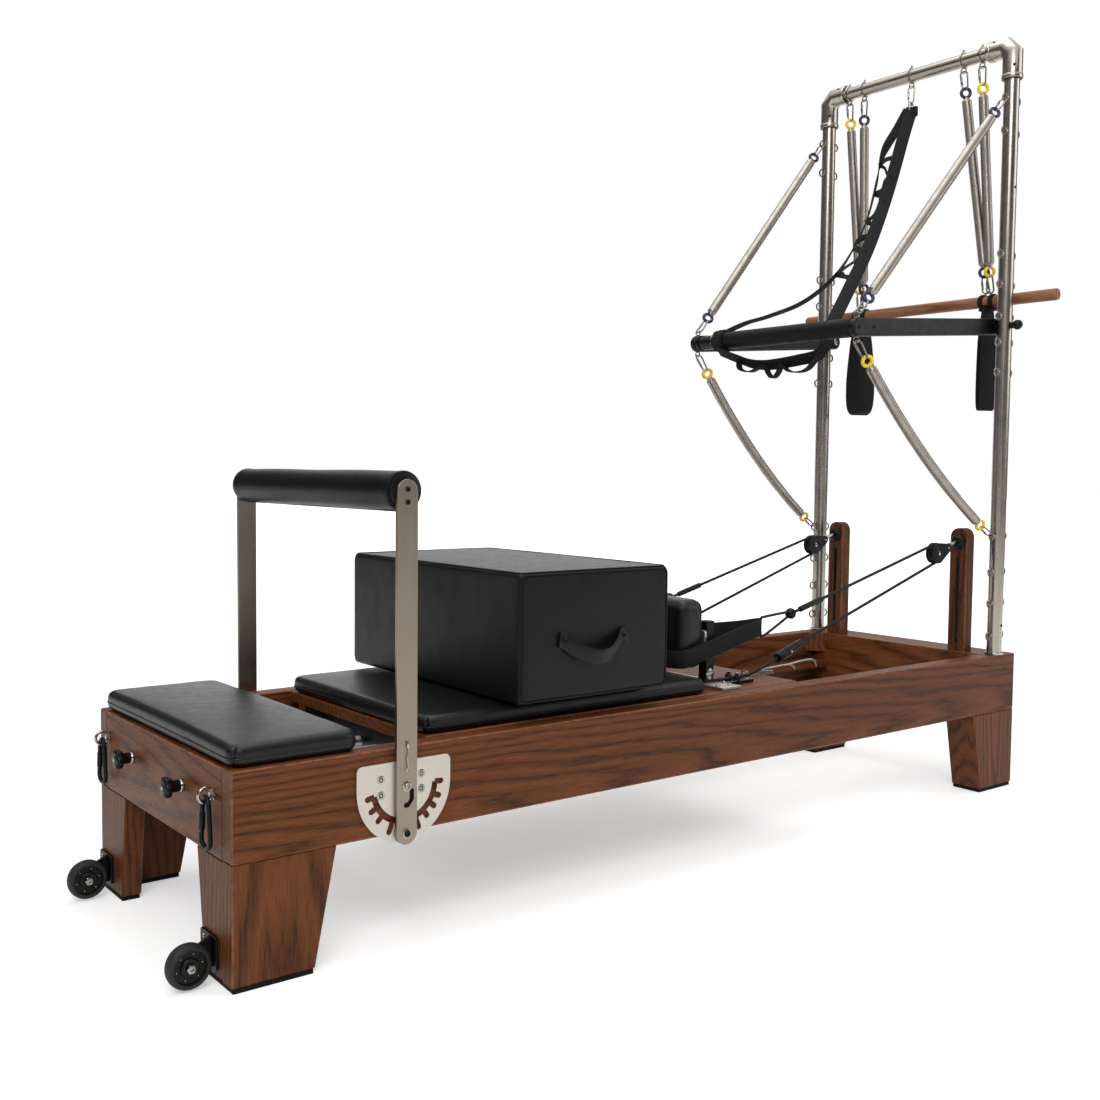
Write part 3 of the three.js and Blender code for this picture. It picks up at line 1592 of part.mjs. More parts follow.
Object.entries(sides).forEach(([where, side], i) => {
  add(`side_rail_${where}`, sideRail(side), "wood");
  add(`leg_foot_${where}`, footLeg(side), "wood");
  add(`leg_head_${where}`, headLeg(side), "wood");
  add(`shoulder_rest_${where}`, shoulderRest(side), "leatherette");
  add(`box_handle_${where}`, boxHandle(side), "leatherette");
  add(`quadrant_plate_${where}`, quadrantPlate(side), "steel");
  add(`footbar_arm_${where}`, footbarArm(side), "steel");
  add(`wheel_bracket_${where}`, wheelBracket(side), "blackPaint");
  add(`transport_wheel_${where}`, transportWheel(side), "rubber");
  add(`snap_hook_${where}`, snapHook(eyeYs[i]), "blackPaint");
  add(`foot_knob_${where}`, footKnob(knobYs[i]), "blackPlastic");
  add(`tower_post_${where}`, towerPost(side), "steel");
  add(`pulley_riser_${where}`, riser(side), "wood");
  add(`pulley_block_${where}`, pulleyBlock(side), "blackPlastic");
  add(`pulley_sheave_${where}`, sheave(side), "blackPlastic");
  add(`rope_${where}`, rope(side), "webbing");
  add(`arm_spring_upper_${where}`, armSpring(side, 1), "steel");
  add(`arm_spring_lower_${where}`, armSpring(side, -1), "steel");
  add(`roll_down_springs_${where}`, rollDownSprings(where), "steel");
  add(`foot_loop_${where}`, footLoop(where), "webbing");
});

export default unit;
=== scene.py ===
import math

import bmesh
import bpy
import numpy as np
from mathutils import Matrix, Vector, noise


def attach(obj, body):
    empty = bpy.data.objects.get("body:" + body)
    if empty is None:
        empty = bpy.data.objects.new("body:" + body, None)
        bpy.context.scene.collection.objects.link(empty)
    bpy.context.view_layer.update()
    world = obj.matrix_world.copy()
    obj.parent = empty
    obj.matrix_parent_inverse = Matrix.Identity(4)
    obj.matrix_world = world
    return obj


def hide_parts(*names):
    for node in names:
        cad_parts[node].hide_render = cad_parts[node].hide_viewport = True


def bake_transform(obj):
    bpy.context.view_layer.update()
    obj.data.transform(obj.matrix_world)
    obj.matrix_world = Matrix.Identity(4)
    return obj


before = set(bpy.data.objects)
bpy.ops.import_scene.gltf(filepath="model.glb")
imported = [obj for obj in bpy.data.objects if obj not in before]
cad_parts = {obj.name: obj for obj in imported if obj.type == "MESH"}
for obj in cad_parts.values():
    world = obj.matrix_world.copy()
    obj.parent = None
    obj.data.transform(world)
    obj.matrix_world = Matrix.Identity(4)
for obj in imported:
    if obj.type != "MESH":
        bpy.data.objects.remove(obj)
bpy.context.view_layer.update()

# Shapes are given in the frame's millimetres: x from the foot end, y from the middle line, z from the floor
MM = 0.001
MIDDLE = 1149
NEAR, FAR = -1, 1
SIDES = (("near", NEAR), ("far", FAR))


def metres(points):
    """Points in the frame's millimetres as points in the scene's metres, which start at the bed's middle."""
    points = np.asarray(points, float).reshape(-1, 3) - (MIDDLE, 0, 0)
    return points * MM


def spot(x, y, z):
    """One point in the scene's metres."""
    return tuple(metres((x, y, z))[0])


def unit(v):
    """A vector's direction."""
    v = np.asarray(v, float)
    return v / max(np.linalg.norm(v), 1e-9)


def shown(name, data):
    """A new object in the scene's collection."""
    made = bpy.data.objects.new(name, data)
    bpy.context.scene.collection.objects.link(made)
    return made


# Materials

class Shader:
    """A node material under construction: node() makes and wires one node, and returns its first output."""

    def __init__(self, name):
        """Starts a material with one surface shader wired to its output."""
        self.material = bpy.data.materials.new(name)
        self.material.use_nodes = True
        self.tree = self.material.node_tree
        self.tree.nodes.clear()
        self.output = self.tree.nodes.new("ShaderNodeOutputMaterial")
        self.shader = self.tree.nodes.new("ShaderNodeBsdfPrincipled")
        self.tree.links.new(self.shader.outputs[0], self.output.inputs[0])

    def put(self, socket, value):
        """Wires a socket to another node's output, or sets its value."""
        if isinstance(value, bpy.types.NodeSocket):
            self.tree.links.new(value, socket)
        elif value is not None:
            socket.default_value = value

    def node(self, kind, inputs=(), out=0, **settings):
        """Makes a node, fills its inputs by name or in order, and returns one output."""
        made = self.tree.nodes.new("ShaderNode" + kind)
        for key, value in settings.items():
            setattr(made, key, value)
        pairs = inputs.items() if isinstance(inputs, dict) else enumerate(inputs)
        for key, value in pairs:
            self.put(made.inputs[key], value)
        return made.outputs[out]

    def math(self, operation, a, b=None):
        """A sum on one or two values."""
        return self.node("Math", [v for v in (a, b) if v is not None], operation=operation)

    def mix(self, share, a, b):
        """Colour a going over to colour b; a colour mix node's inputs 6 and 7 are its colours, output 2 the result."""
        made = self.tree.nodes.new("ShaderNodeMix")
        made.data_type = "RGBA"
        for index, value in ((0, share), (6, a), (7, b)):
            self.put(made.inputs[index], value)
        return made.outputs[2]

    def ramp(self, value, stops):
        """A value turned to a colour by (position, colour) stops."""
        made = self.tree.nodes.new("ShaderNodeValToRGB")
        elements = made.color_ramp.elements
        while len(elements) < len(stops):
            elements.new(0.5)
        for element, (place, colour) in zip(elements, stops):
            element.position = place
            element.color = colour
        self.put(made.inputs[0], value)
        return made.outputs[0]

    def range(self, value, low, high, to_low=0.0, to_high=1.0, smooth=False):
        """Low to high stretched onto to_low to to_high, and held at its ends."""
        return self.node("MapRange", {"Value": value, "From Min": low, "From Max": high,
                                      "To Min": to_low, "To Max": to_high},
                         interpolation_type="SMOOTHSTEP" if smooth else "LINEAR")

    def place(self, output="Object"):
        """The shaded point's place on its object, its normal or its UV."""
        made = self.tree.nodes.new("ShaderNodeTexCoord")
        return made.outputs[output]

    def part(self, vector, index):
        """One of a vector's three numbers."""
        return self.node("SeparateXYZ", [vector], out=index)

    def uv(self):
        """How far along and how far round a swept shape the point lies, in metres."""
        split = self.part(self.place("UV"), 0).node
        return split.outputs[0], split.outputs[1]

    def mapped(self, vector, scale=(1, 1, 1), turn=(0, 0, 0), move=(0, 0, 0)):
        """A vector scaled, turned and moved."""
        return self.node("Mapping", {"Vector": vector, "Location": move, "Rotation": turn, "Scale": scale})

    def noise(self, vector, scale, detail, rough, warp=0.0):
        """Cloudy noise about 0.5."""
        return self.node("TexNoise", {"Vector": vector, "Scale": scale, "Detail": detail, "Roughness": rough,
                                      "Distortion": warp})

    def bump(self, height, strength, distance, normal=None):
        """A normal tipped by a height, on top of another normal if one is given."""
        return self.node("Bump", {"Strength": strength, "Distance": distance, "Height": height, "Normal": normal})

    def finish(self, **sockets):
        """Sets the surface's named inputs and returns the material."""
        for key, value in sockets.items():
            self.put(self.shader.inputs[key.replace("_", " ")], value)
        return self.material


def rgb(code):
    """The linear colour of an sRGB hex code."""
    parts = [int(code[i:i + 2], 16) / 255 for i in (0, 2, 4)]
    return tuple([p / 12.92 if p <= 0.04045 else ((p + 0.055) / 1.055) ** 2.4 for p in parts] + [1.0])


def tinted(colour, by, lift=0.0):
    """A colour made darker or lighter, its alpha left at 1."""
    return tuple([min(1.0, v * by + lift) for v in colour[:3]] + [1.0])


def grey(level):
    """An even grey, given in linear light."""
    return (level, level, level, 1)


def edge_mask(s, place, edges, width):
    """1 on straight edges, each given as (axis, value, axis, value) in frame millimetres, fading over width."""
    mask = None
    for axis_a, a, axis_b, b in edges:
        parts = []
        for axis, value in ((axis_a, a), (axis_b, b)):
            value = (value - (MIDDLE if axis == 0 else 0)) * MM
            parts.append(s.math("POWER", s.math("ABSOLUTE", s.math("SUBTRACT", s.part(place, axis), value)), 2.0))
        away = s.math("SQRT", s.math("ADD", parts[0], parts[1]))
        one = s.range(away, width * 0.3 * MM, width * MM, 1.0, 0.0)
        mask = one if mask is None else s.math("MAXIMUM", mask, one)
    return mask


RING_TILT = (0.0, 0.28, 0.5)
WALNUT = ("341a0b", "613519", "7a4626")
RUBBER_FOOT_TOP = 9.8
# Half width and ends of the riser slot whose inner walls get painted shade
SLOT_HALF, SLOT_LOW, SLOT_HIGH = 5.7, 411.5, 662.5


def wood(name, grain, heart, edges=(), tone=1.0, rubber_foot=False, end_grain=None, slot=None, palette=WALNUT,
         gloss=0.42):
    """Stained open-pored wood: rings round a heart line beside the board, with pores and worn edges.

    grain is the axis its fibres run along, slot the middle of a slot whose walls get painted shade, end_grain the axis
    of its cut ends.
    """
    s = Shader(name)
    place = s.place()
    turn = {0: (0, 0, 0), 1: (0, 0, -math.pi / 2), 2: (0, math.pi / 2, 0)}[grain]
    along = s.mapped(s.mapped(place, turn=turn), scale=(0.085, 1, 1))
    wander = s.noise(along, 9.0, 3.0, 0.55)
    shift = s.node("VectorMath", {0: s.node("CombineXYZ", [0.0, wander, wander]), 3: 0.03}, operation="SCALE")
    warped = s.node("VectorMath", [along, shift], operation="ADD")
    rings = s.node("TexWave", {"Vector": s.mapped(warped, turn=RING_TILT, move=heart), "Scale": 25.0, "Distortion": 6.5,
                               "Detail": 3.0, "Detail Scale": 0.8, "Detail Roughness": 0.65}, out=1,
                   wave_type="RINGS", rings_direction="X", wave_profile="SAW")
    fibre = s.noise(along, 330.0, 2.0, 0.6)
    dashes = s.range(s.noise(s.mapped(along, scale=(0.9, 1, 1)), 210.0, 2.0, 0.6), 0.4, 0.56)
    pore = s.range(s.noise(s.mapped(along, scale=(0.55, 1, 1)), 620.0, 1.0, 0.5), 0.38, 0.5, 1.0, 0.0)
    broad = s.noise(along, 5.0, 2.0, 0.5)
    dark, middle, light = [tinted(rgb(code), tone) for code in palette]
    deep = tinted(dark, 0.6)
    base = s.ramp(rings, [(0.0, middle), (0.45, light), (0.8, middle), (1.0, middle)])
    colour = s.mix(s.range(fibre, 0.32, 0.68, 0.0, 0.5), base, middle)
    late = s.ramp(rings, [(0.0, grey(0.25)), (0.1, grey(0)), (0.66, grey(0)), (0.93, grey(1)), (1.0, grey(0.8))])
    streak = s.math("MULTIPLY", late, s.range(dashes, 0.0, 1.0, 0.4, 1.0))
    colour = s.mix(s.math("MULTIPLY", streak, 0.72), colour, dark)
    colour = s.mix(s.range(broad, 0.3, 0.75, 0.0, 0.36), colour, dark)
    colour = s.mix(s.math("MULTIPLY", pore, s.range(streak, 0.0, 1.0, 0.3, 0.85)), colour, deep)
    if edges:
        nibble = s.noise(place, 60.0, 4.0, 0.7)
        worn = s.math("MULTIPLY", edge_mask(s, place, edges, 4.0), s.range(nibble, 0.36, 0.62, 0.1, 0.7))
        colour = s.mix(worn, colour, rgb("a06a49"))
    rough = s.range(fibre, 0.2, 0.8, gloss - 0.04, gloss + 0.12)
    height = s.math("SUBTRACT", s.math("MULTIPLY", fibre, 0.3), pore)
    if end_grain is not None:
        cut_end = s.range(s.math("ABSOLUTE", s.part(s.place("Normal"), end_grain)), 0.75, 0.95)
        flecks = s.noise(place, 520.0, 2.0, 0.7)
        colour = s.mix(cut_end, colour, s.mix(s.range(flecks, 0.35, 0.65), rgb("3a2012"), rgb("744a32")))
    if rubber_foot:
        pad = s.math("LESS_THAN", s.part(place, 2), RUBBER_FOOT_TOP * MM)
        grit = s.noise(place, 900.0, 2.0, 0.6)
        colour = s.mix(pad, colour, s.mix(grit, rgb("0c0c0c"), rgb("181818")))
        rough = s.math("MAXIMUM", rough, s.math("MULTIPLY", pad, 0.85))
    # Painted shade: the walls inside the slot are coloured near black, standing in for the shade of the narrow slot
    if slot is not None:
        aside = s.math("ABSOLUTE", s.math("SUBTRACT", s.part(place, 1), slot * MM))
        painted_slot_shade = s.math("LESS_THAN", aside, SLOT_HALF * MM)
        for level, side in ((SLOT_LOW, "GREATER_THAN"), (SLOT_HIGH, "LESS_THAN")):
            painted_slot_shade = s.math("MULTIPLY", painted_slot_shade, s.math(side, s.part(place, 2), level * MM))
        colour = s.mix(painted_slot_shade, colour, rgb("0d0705"))
    return s.finish(Base_Color=colour, Roughness=rough, Specular_IOR_Level=0.17, Normal=s.bump(height, 0.22, 0.0006))


def leatherette(name, gloss=0.28, scale=1.0, sheen=0.27):
    """Coated upholstery cloth: fine pebble grain with painted shade in its hollows, soft creases and slightly uneven
    sheen.
    """
    s = Shader(name)
    place = s.place()
    cells = s.node("TexVoronoi", {"Vector": place, "Scale": 900.0 * scale}, feature="DISTANCE_TO_EDGE")
    pebble = s.range(cells, 0.0, 0.18, 0.0, 1.0, smooth=True)
    creases = s.noise(place, 34.0, 5.0, 0.62, 0.8)
    cloudy = s.noise(place, 6.0, 3.0, 0.5)
    colour = s.mix(s.range(cloudy, 0.3, 0.7), rgb("101112"), rgb("161718"))
    # Painted shade: the hollows between the pebbles are coloured darker
    colour = s.mix(s.math("MULTIPLY", s.math("SUBTRACT", 1.0, pebble), 0.5), colour, rgb("080809"))
    rough = s.range(s.noise(place, 40.0, 3.0, 0.6), 0.25, 0.75, gloss, gloss + 0.1)
    soft = s.bump(creases, 0.16, 0.0022)
    return s.finish(Base_Color=colour, Roughness=rough, Specular_IOR_Level=sheen,
                    Normal=s.bump(pebble, 0.2, 0.0003, soft))


def brushed(name, along, code, low, high):
    """Brushed or drawn metal: fine lines along one axis, with fingerprints of uneven roughness."""
    s = Shader(name)
    place = s.place()
    stretch = tuple(0.012 if axis == along else 1.0 for axis in range(3))
    lines = s.noise(s.mapped(place, scale=stretch), 300.0, 2.0, 0.6)
    clouds = s.noise(place, 14.0, 4.0, 0.6)
    tone = rgb(code)
    deep = tinted(tone, 0.92)
    colour = s.mix(s.range(lines, 0.3, 0.7), deep, tone)
    colour = s.mix(s.range(clouds, 0.42, 0.75, 0.0, 0.15), colour, deep)
    rough = s.math("ADD", s.range(lines, 0.3, 0.7, low, high), s.range(clouds, 0.3, 0.7, -0.02, 0.04))
    return s.finish(Base_Color=colour, Metallic=1.0, Roughness=rough, Normal=s.bump(lines, 0.006, 0.0001))


def coated(name, code, rough, specks=700.0, strength=0.12):
    """Moulded plastic or powder coat: orange-peel bump and faint rubbed patches."""
    s = Shader(name)
    place = s.place()
    peel = s.noise(place, specks, 2.0, 0.6)
    rubbed = s.noise(place, 45.0, 4.0, 0.65)
    tone = rgb(code)
    colour = s.mix(s.range(rubbed, 0.5, 0.8, 0.0, 0.6), tone, tinted(tone, 1.7, 0.004))
    return s.finish(Base_Color=colour, Roughness=s.range(rubbed, 0.3, 0.75, rough - 0.07, rough + 0.12),
                    Specular_IOR_Level=0.2, Normal=s.bump(peel, strength, 0.0003))


def webbing(name, code, rib):
    """Woven tape: ribs across the strap and a fine twill, following the strap's own length and width, with painted
    highlight on its raised threads.
    """
    s = Shader(name)
    u, v = s.uv()
    ribs = s.math("SINE", s.math("MULTIPLY", u, 2 * math.pi / rib))
    slant = s.math("ADD", v, s.math("MULTIPLY", u, 0.5))
    weave = s.math("SINE", s.math("MULTIPLY", slant, 2 * math.pi / (rib * 0.7)))
    height = s.math("MULTIPLY", ribs, weave)
    fuzz = s.noise(s.place(), 1500.0, 2.0, 0.7)
    tone = rgb(code)
    pale = tinted(tone, 2.4, 0.004)
    # Painted highlight and shade: the raised threads of the weave are coloured paler, the low ones darker
    colour = s.mix(s.range(height, -1.0, 1.0, 0.0, 0.75), tone, pale)
    colour = s.mix(s.range(fuzz, 0.4, 0.8, 0.0, 0.35), colour, pale)
    return s.finish(Base_Color=colour, Roughness=0.85, Specular_IOR_Level=0.25, Normal=s.bump(height, 0.4, 0.0004))


def braid(name, code, pitch, around):
    """Braided cord: two crossing families of strands along the rope's own length and girth, with painted shade between
    the strands and painted highlight on their crowns.
    """
    s = Shader(name)
    u, v = s.uv()
    families = []
    for hand in (1.0, -1.0):
        phase = s.math("ADD", s.math("MULTIPLY", u, 2 * math.pi / pitch),
                       s.math("MULTIPLY", v, hand * 2 * math.pi * 3 / (2 * around)))
        families.append(s.math("ABSOLUTE", s.math("SINE", phase)))
    height = s.math("MAXIMUM", families[0], families[1])
    tone = rgb(code)
    # Painted shade and highlight: the gaps between strands are coloured darker, the strands' crowns paler
    colour = s.mix(s.range(height, 0.4, 1.0, 0.0, 0.8), tinted(tone, 0.4), tinted(tone, 2.6, 0.005))
    return s.finish(Base_Color=colour, Roughness=0.75, Specular_IOR_Level=0.3, Normal=s.bump(height, 0.6, 0.0007))


def wire(name, code, rough):
    """Spring or hook wire: bright drawn steel with dull patches."""
    s = Shader(name)
    place = s.place()
    dull = s.noise(place, 30.0, 2.0, 0.5)
    tone = rgb(code)
    return s.finish(Base_Color=s.mix(s.range(dull, 0.35, 0.75), tone, tinted(tone, 0.84)), Metallic=1.0,
                    Roughness=s.range(dull, 0.3, 0.7, rough - 0.06, rough + 0.12),
                    Normal=s.bump(s.noise(place, 900.0, 1.0, 0.5), 0.02, 0.0001))


def enamel(name, code):
    """A coloured dip coat, rubbed darker in patches."""
    s = Shader(name)
    place = s.place()
    rubbed = s.noise(place, 160.0, 3.0, 0.6)
    tone = rgb(code)
    return s.finish(Base_Color=s.mix(s.range(rubbed, 0.45, 0.8), tone, tinted(tone, 0.72)),
                    Roughness=s.range(rubbed, 0.3, 0.7, 0.3, 0.48),
                    Normal=s.bump(s.noise(place, 900.0, 2.0, 0.5), 0.08, 0.0002))


def rubber(name):
    """Dusty black rubber."""
    s = Shader(name)
    place = s.place()
    grit = s.noise(place, 1300.0, 2.0, 0.6)
    dusty = s.noise(place, 24.0, 4.0, 0.7)
    colour = s.mix(s.range(dusty, 0.45, 0.85, 0.0, 0.5), rgb("141415"), rgb("2c2b2a"))
    return s.finish(Base_Color=colour, Roughness=s.range(dusty, 0.3, 0.7, 0.55, 0.8), Normal=s.bump(grit, 0.2, 0.0003))


BED_LENGTH, BED_HALF, RAIL_INSIDE = 2390, 340, 298
RAIL_LOW, RAIL_TOP = 224, 386
RISER_X, RISER_Y, RISER_HALF = 2276.3, 221, 27


def rail_edges(side):
    """The worn edges of a side rail, each as axis, value, axis, value."""
    face = side * BED_HALF
    return [(1, face, 2, RAIL_TOP), (1, side * RAIL_INSIDE, 2, RAIL_TOP), (0, 0, 2, RAIL_TOP), (1, face, 2, RAIL_LOW),
            (0, 0, 1, face)]


def riser(name, side, heart):
    """The wood of a pulley riser, with painted shade on the walls inside its slot."""
    middle = side * RISER_Y
    edges = [(0, RISER_X, 1, middle + side * RISER_HALF), (0, RISER_X, 1, middle - side * RISER_HALF)]
    return wood(name, 2, heart, edges, tone=0.8, slot=middle)


M = {
    "rail_near": wood("WoodRailNear", 0, (0.0, 0.385, -0.262), rail_edges(NEAR), end_grain=0),
    "rail_far": wood("WoodRailFar", 0, (0.3, -0.270, -0.330), rail_edges(FAR), end_grain=0),
    "foot_board": wood("WoodFootBoard", 1, (0.1, -1.20, -0.27), [(0, 0, 2, RAIL_TOP), (0, 0, 2, RAIL_LOW)]),
    "head_board": wood("WoodHeadBoard", 1, (0.2, 1.30, -0.28), [(0, BED_LENGTH, 2, RAIL_TOP), (0, 2348, 2, RAIL_TOP)]),
    "deck": wood("WoodDeck", 1, (0.4, 1.24, -0.45), [(0, 2276, 2, RAIL_TOP)], tone=1.05),
    "leg_foot_near": wood("WoodLegFootNear", 2, (0.05, 0.40, -1.06), [(0, 0, 1, -BED_HALF)], rubber_foot=True),
    "leg_foot_far": wood("WoodLegFootFar", 2, (0.05, -0.34, -1.08), [(0, 0, 1, BED_HALF)], rubber_foot=True),
    "leg_head_near": wood("WoodLegHeadNear", 2, (0.2, 0.40, 1.10), [(0, BED_LENGTH, 1, -BED_HALF)], rubber_foot=True),
    "leg_head_far": wood("WoodLegHeadFar", 2, (0.2, -0.30, 1.20), rubber_foot=True),
    "platform": wood("WoodPlatform", 1, (0.0, -1.05, -0.5)),
    "carriage": wood("WoodCarriage", 0, (0.1, 0.1, -0.52), [(1, -290, 2, RAIL_TOP), (1, -290, 2, 362)], tone=1.1),
    "spring_bar": wood("WoodSpringBar", 1, (0.0, -1.0, -0.4)),
    "riser_near": riser("WoodRiserNear", NEAR, (0.3, 0.26, 1.16)),
    "riser_far": riser("WoodRiserFar", FAR, (0.3, -0.19, 1.16)),
    "dowel": wood("WoodDowel", 1, (0.1, 1.25, -1.44), palette=("6a3f27", "8f6043", "a87a5a"), gloss=0.38),
    "pad": leatherette("Leatherette"),
    "box": leatherette("LeatheretteBox", gloss=0.29, sheen=0.16),
    "roller": leatherette("LeatheretteRoller", gloss=0.27, scale=1.15, sheen=0.08),
    "steel_x": brushed("BrushedAlongX", 0, "aaa298", 0.2, 0.32),
    "steel_y": brushed("BrushedAlongY", 1, "9a9288", 0.2, 0.32),
    "steel_z": brushed("BrushedAlongZ", 2, "aaa298", 0.2, 0.32),
    "arm": brushed("BrushedArm", 2, "8f8478", 0.28, 0.4),
    "seam": coated("SeamThread", "050505", 0.9, 1500.0, 0.3),
    "plate": brushed("SatinPlate", 0, "c9c1b7", 0.36, 0.5),
    "chrome": wire("BrightWire", "a39d95", 0.2),
    "snap": wire("SnapWire", "807a73", 0.24),
    "spring": wire("SpringWire", "968f87", 0.3),
    "black_metal": coated("BlackPowderCoat", "0a0a0b", 0.4, 900.0, 0.1),
    "black_plastic": coated("BlackPlastic", "0a0a0b", 0.38),
    "foam": coated("FoamSleeve", "09090a", 0.62, 500.0, 0.35),
    "rubber": rubber("TyreRubber"),
    "web": webbing("BlackWebbing", "0a0a0b", rib=0.0022),
    "rope": braid("BraidedRope", "0b0b0c", pitch=0.011, around=0.0125),
    "strap": leatherette("HandleLeather", gloss=0.3, scale=1.3, sheen=0.2),
    "thread": coated("Thread", "0c0c0d", 0.7, 1500.0, 0.3),
    "yellow": enamel("YellowRing", "f2cd1e"),
    "navy": enamel("NavyRing", "14144a"),
}

# Mesh building

WELD = 0.00005


class Piece:
    """Gathers surfaces in frame millimetres, then makes one object that rides on a body."""

    def __init__(self, name):
        """Starts an empty piece."""
        self.name = name
        self.points, self.faces, self.uvs, self.slots, self.materials = [], [], [], [], []

    def add(self, points, faces, material, uvs=None):
        """Takes in one surface in one material."""
        start = len(self.points)
        self.points.extend(np.asarray(points, float).reshape(-1, 3).tolist())
        if material not in self.materials:
            self.materials.append(material)
        slot = self.materials.index(material)
        for i, face in enumerate(faces):
            self.faces.append([start + k for k in face])
            self.slots.append(slot)
            self.uvs.append([tuple(q) for q in uvs[i]] if uvs is not None else [(0.0, 0.0)] * len(face))
        return self

    def make(self, body=None, replaces=(), slot=None, blend=None, sharp=40.0, weld=False):
        """Makes the object. It rides on body, or, when blend is given, stays where it is made on no body; blend's two
        bodies and two points are not used.
        """
        mesh = bpy.data.meshes.new(self.name)
        mesh.from_pydata(metres(self.points).tolist(), [], self.faces)
        for key in self.materials:
            mesh.materials.append(M[key])
        mesh.polygons.foreach_set("material_index", self.slots)
        mesh.polygons.foreach_set("use_smooth", [True] * len(self.faces))
        layer = mesh.uv_layers.new(name="UVMap")
        layer.data.foreach_set("uv", [c for face in self.uvs for q in face for c in (q[0] * MM, q[1] * MM)])
        if weld:
            shell = bmesh.new()
            shell.from_mesh(mesh)
            bmesh.ops.remove_doubles(shell, verts=shell.verts, dist=WELD)
            shell.to_mesh(mesh)
            shell.free()
        mesh.validate()
        mesh.update()
        made = shown(self.name, mesh)
        mesh.set_sharp_from_angle(angle=math.radians(sharp))
        if blend:
            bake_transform(made)
        else:
            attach(made, body)
        if replaces:
            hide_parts(*replaces)
        return made


def circle(radius, sides):
    """A round section."""
    angles = 2 * np.pi * np.arange(sides) / sides
    return np.stack([radius * np.cos(angles), radius * np.sin(angles)], 1)


def strip(width, thick, round_steps=2):
    """A flat section with rounded edges: width first, thickness second."""
    r = thick / 2
    points = []
    for cx, first in ((width / 2 - r, -90), (-width / 2 + r, 90)):
        for i in range(round_steps + 1):
            a = math.radians(first + 180 * i / round_steps)
            points.append((cx + r * math.cos(a), r * math.sin(a)))
    return np.array(points)


def across(axis):
    """Two directions square to an axis and to each other."""
    helper = np.array([0.0, 0.0, 1.0]) if abs(axis[2]) < 0.9 else np.array([1.0, 0.0, 0.0])
    x = unit(np.cross(helper, axis))
    return x, np.cross(axis, x)


def reach_of(path):
    """How far along a path each of its points lies."""
    return np.concatenate([[0.0], np.cumsum(np.linalg.norm(np.diff(path, axis=0), axis=1))])


def at_reach(path, reach, stations):
    """The points of a path at given distances along it."""
    return np.stack([np.interp(stations, reach, path[:, i]) for i in range(3)], -1)


def skin(rows, sides, closed=False):
    """The faces of a tube of rows with the same number of points, capped if it is open."""
    faces = []
    for i in range(rows if closed else rows - 1):
        a, b = i * sides, (i + 1) % rows * sides
        faces += [(a + k, a + (k + 1) % sides, b + (k + 1) % sides, b + k) for k in range(sides)]
    if not closed:
        faces.append(tuple(range(sides))[::-1])
        faces.append(tuple((rows - 1) * sides + k for k in range(sides)))
    return faces


def frames(path, up=None, closed=False):
    """Tangent, side and normal along a path; up is one direction, or one for each point."""
    path = np.asarray(path, float)
    if closed:
        ahead, back = np.roll(path, -1, 0), np.roll(path, 1, 0)
    else:
        ahead, back = np.vstack([path[1:], path[-1:]]), np.vstack([path[:1], path[:-1]])
    t = ahead - back
    t /= np.maximum(np.linalg.norm(t, axis=1), 1e-9)[:, None]
    if up is not None and np.ndim(up) == 2:
        side = np.asarray(up, float)
        side = side - (side * t).sum(1)[:, None] * t
        side /= np.maximum(np.linalg.norm(side, axis=1), 1e-9)[:, None]
        return t, side, np.cross(t, side)
    if up is None:
        up = (0, 0, 1) if abs(t[0][2]) < 0.9 else (0, 1, 0)
    v = np.asarray(up, float)
    sides = []
    for tangent in t:
        v = unit(v - v.dot(tangent) * tangent)
        sides.append(v)
    side = np.array(sides)
    return t, side, np.cross(t, side)


def sweep(piece, path, section, material, up=None, closed=False, scale=None):
    """A section carried along a path. The section's first axis lies along `up`."""
    path = np.asarray(path, float)
    section = np.asarray(section, float)
    _, side, normal = frames(path, up, closed)
    m, k = len(path), len(section)
    size = np.ones(m) if scale is None else np.asarray(scale, float)
    rings = path[:, None, :] + size[:, None, None] * (
        section[None, :, :1] * side[:, None, :] + section[None, :, 1:] * normal[:, None, :])
    u = reach_of(np.vstack([path, path[:1]]) if closed else path)
    v = reach_of(np.vstack([section, section[:1]]))
    uvs = [((u[i], v[a]), (u[i], v[a + 1]), (u[i + 1], v[a + 1]), (u[i + 1], v[a]))
           for i in range(len(u) - 1) for a in range(k)]
    if not closed:
        uvs += [[(0.0, 0.0)] * k] * 2
    return piece.add(rings.reshape(-1, 3), skin(m, k, closed), material, uvs)


def rod(piece, radius, a, b, material, sides=32, soft=0.0):
    """A round bar from a to b, with its two rims softened."""
    a, b = np.asarray(a, float), np.asarray(b, float)
    length = np.linalg.norm(b - a)
    soft = min(soft, length / 3)
    rim = radius - soft
    if soft > 0:
        nearly = radius - soft * 0.3
        wall = [(rim, 0), (nearly, soft * 0.3), (radius, soft), (radius, length - soft), (nearly, length - soft * 0.3),
                (rim, length)]
    else:
        wall = [(radius, 0), (radius, length)]
    return lathe(piece, [(0, 0)] + wall + [(0, length)], a, b - a, material, sides)


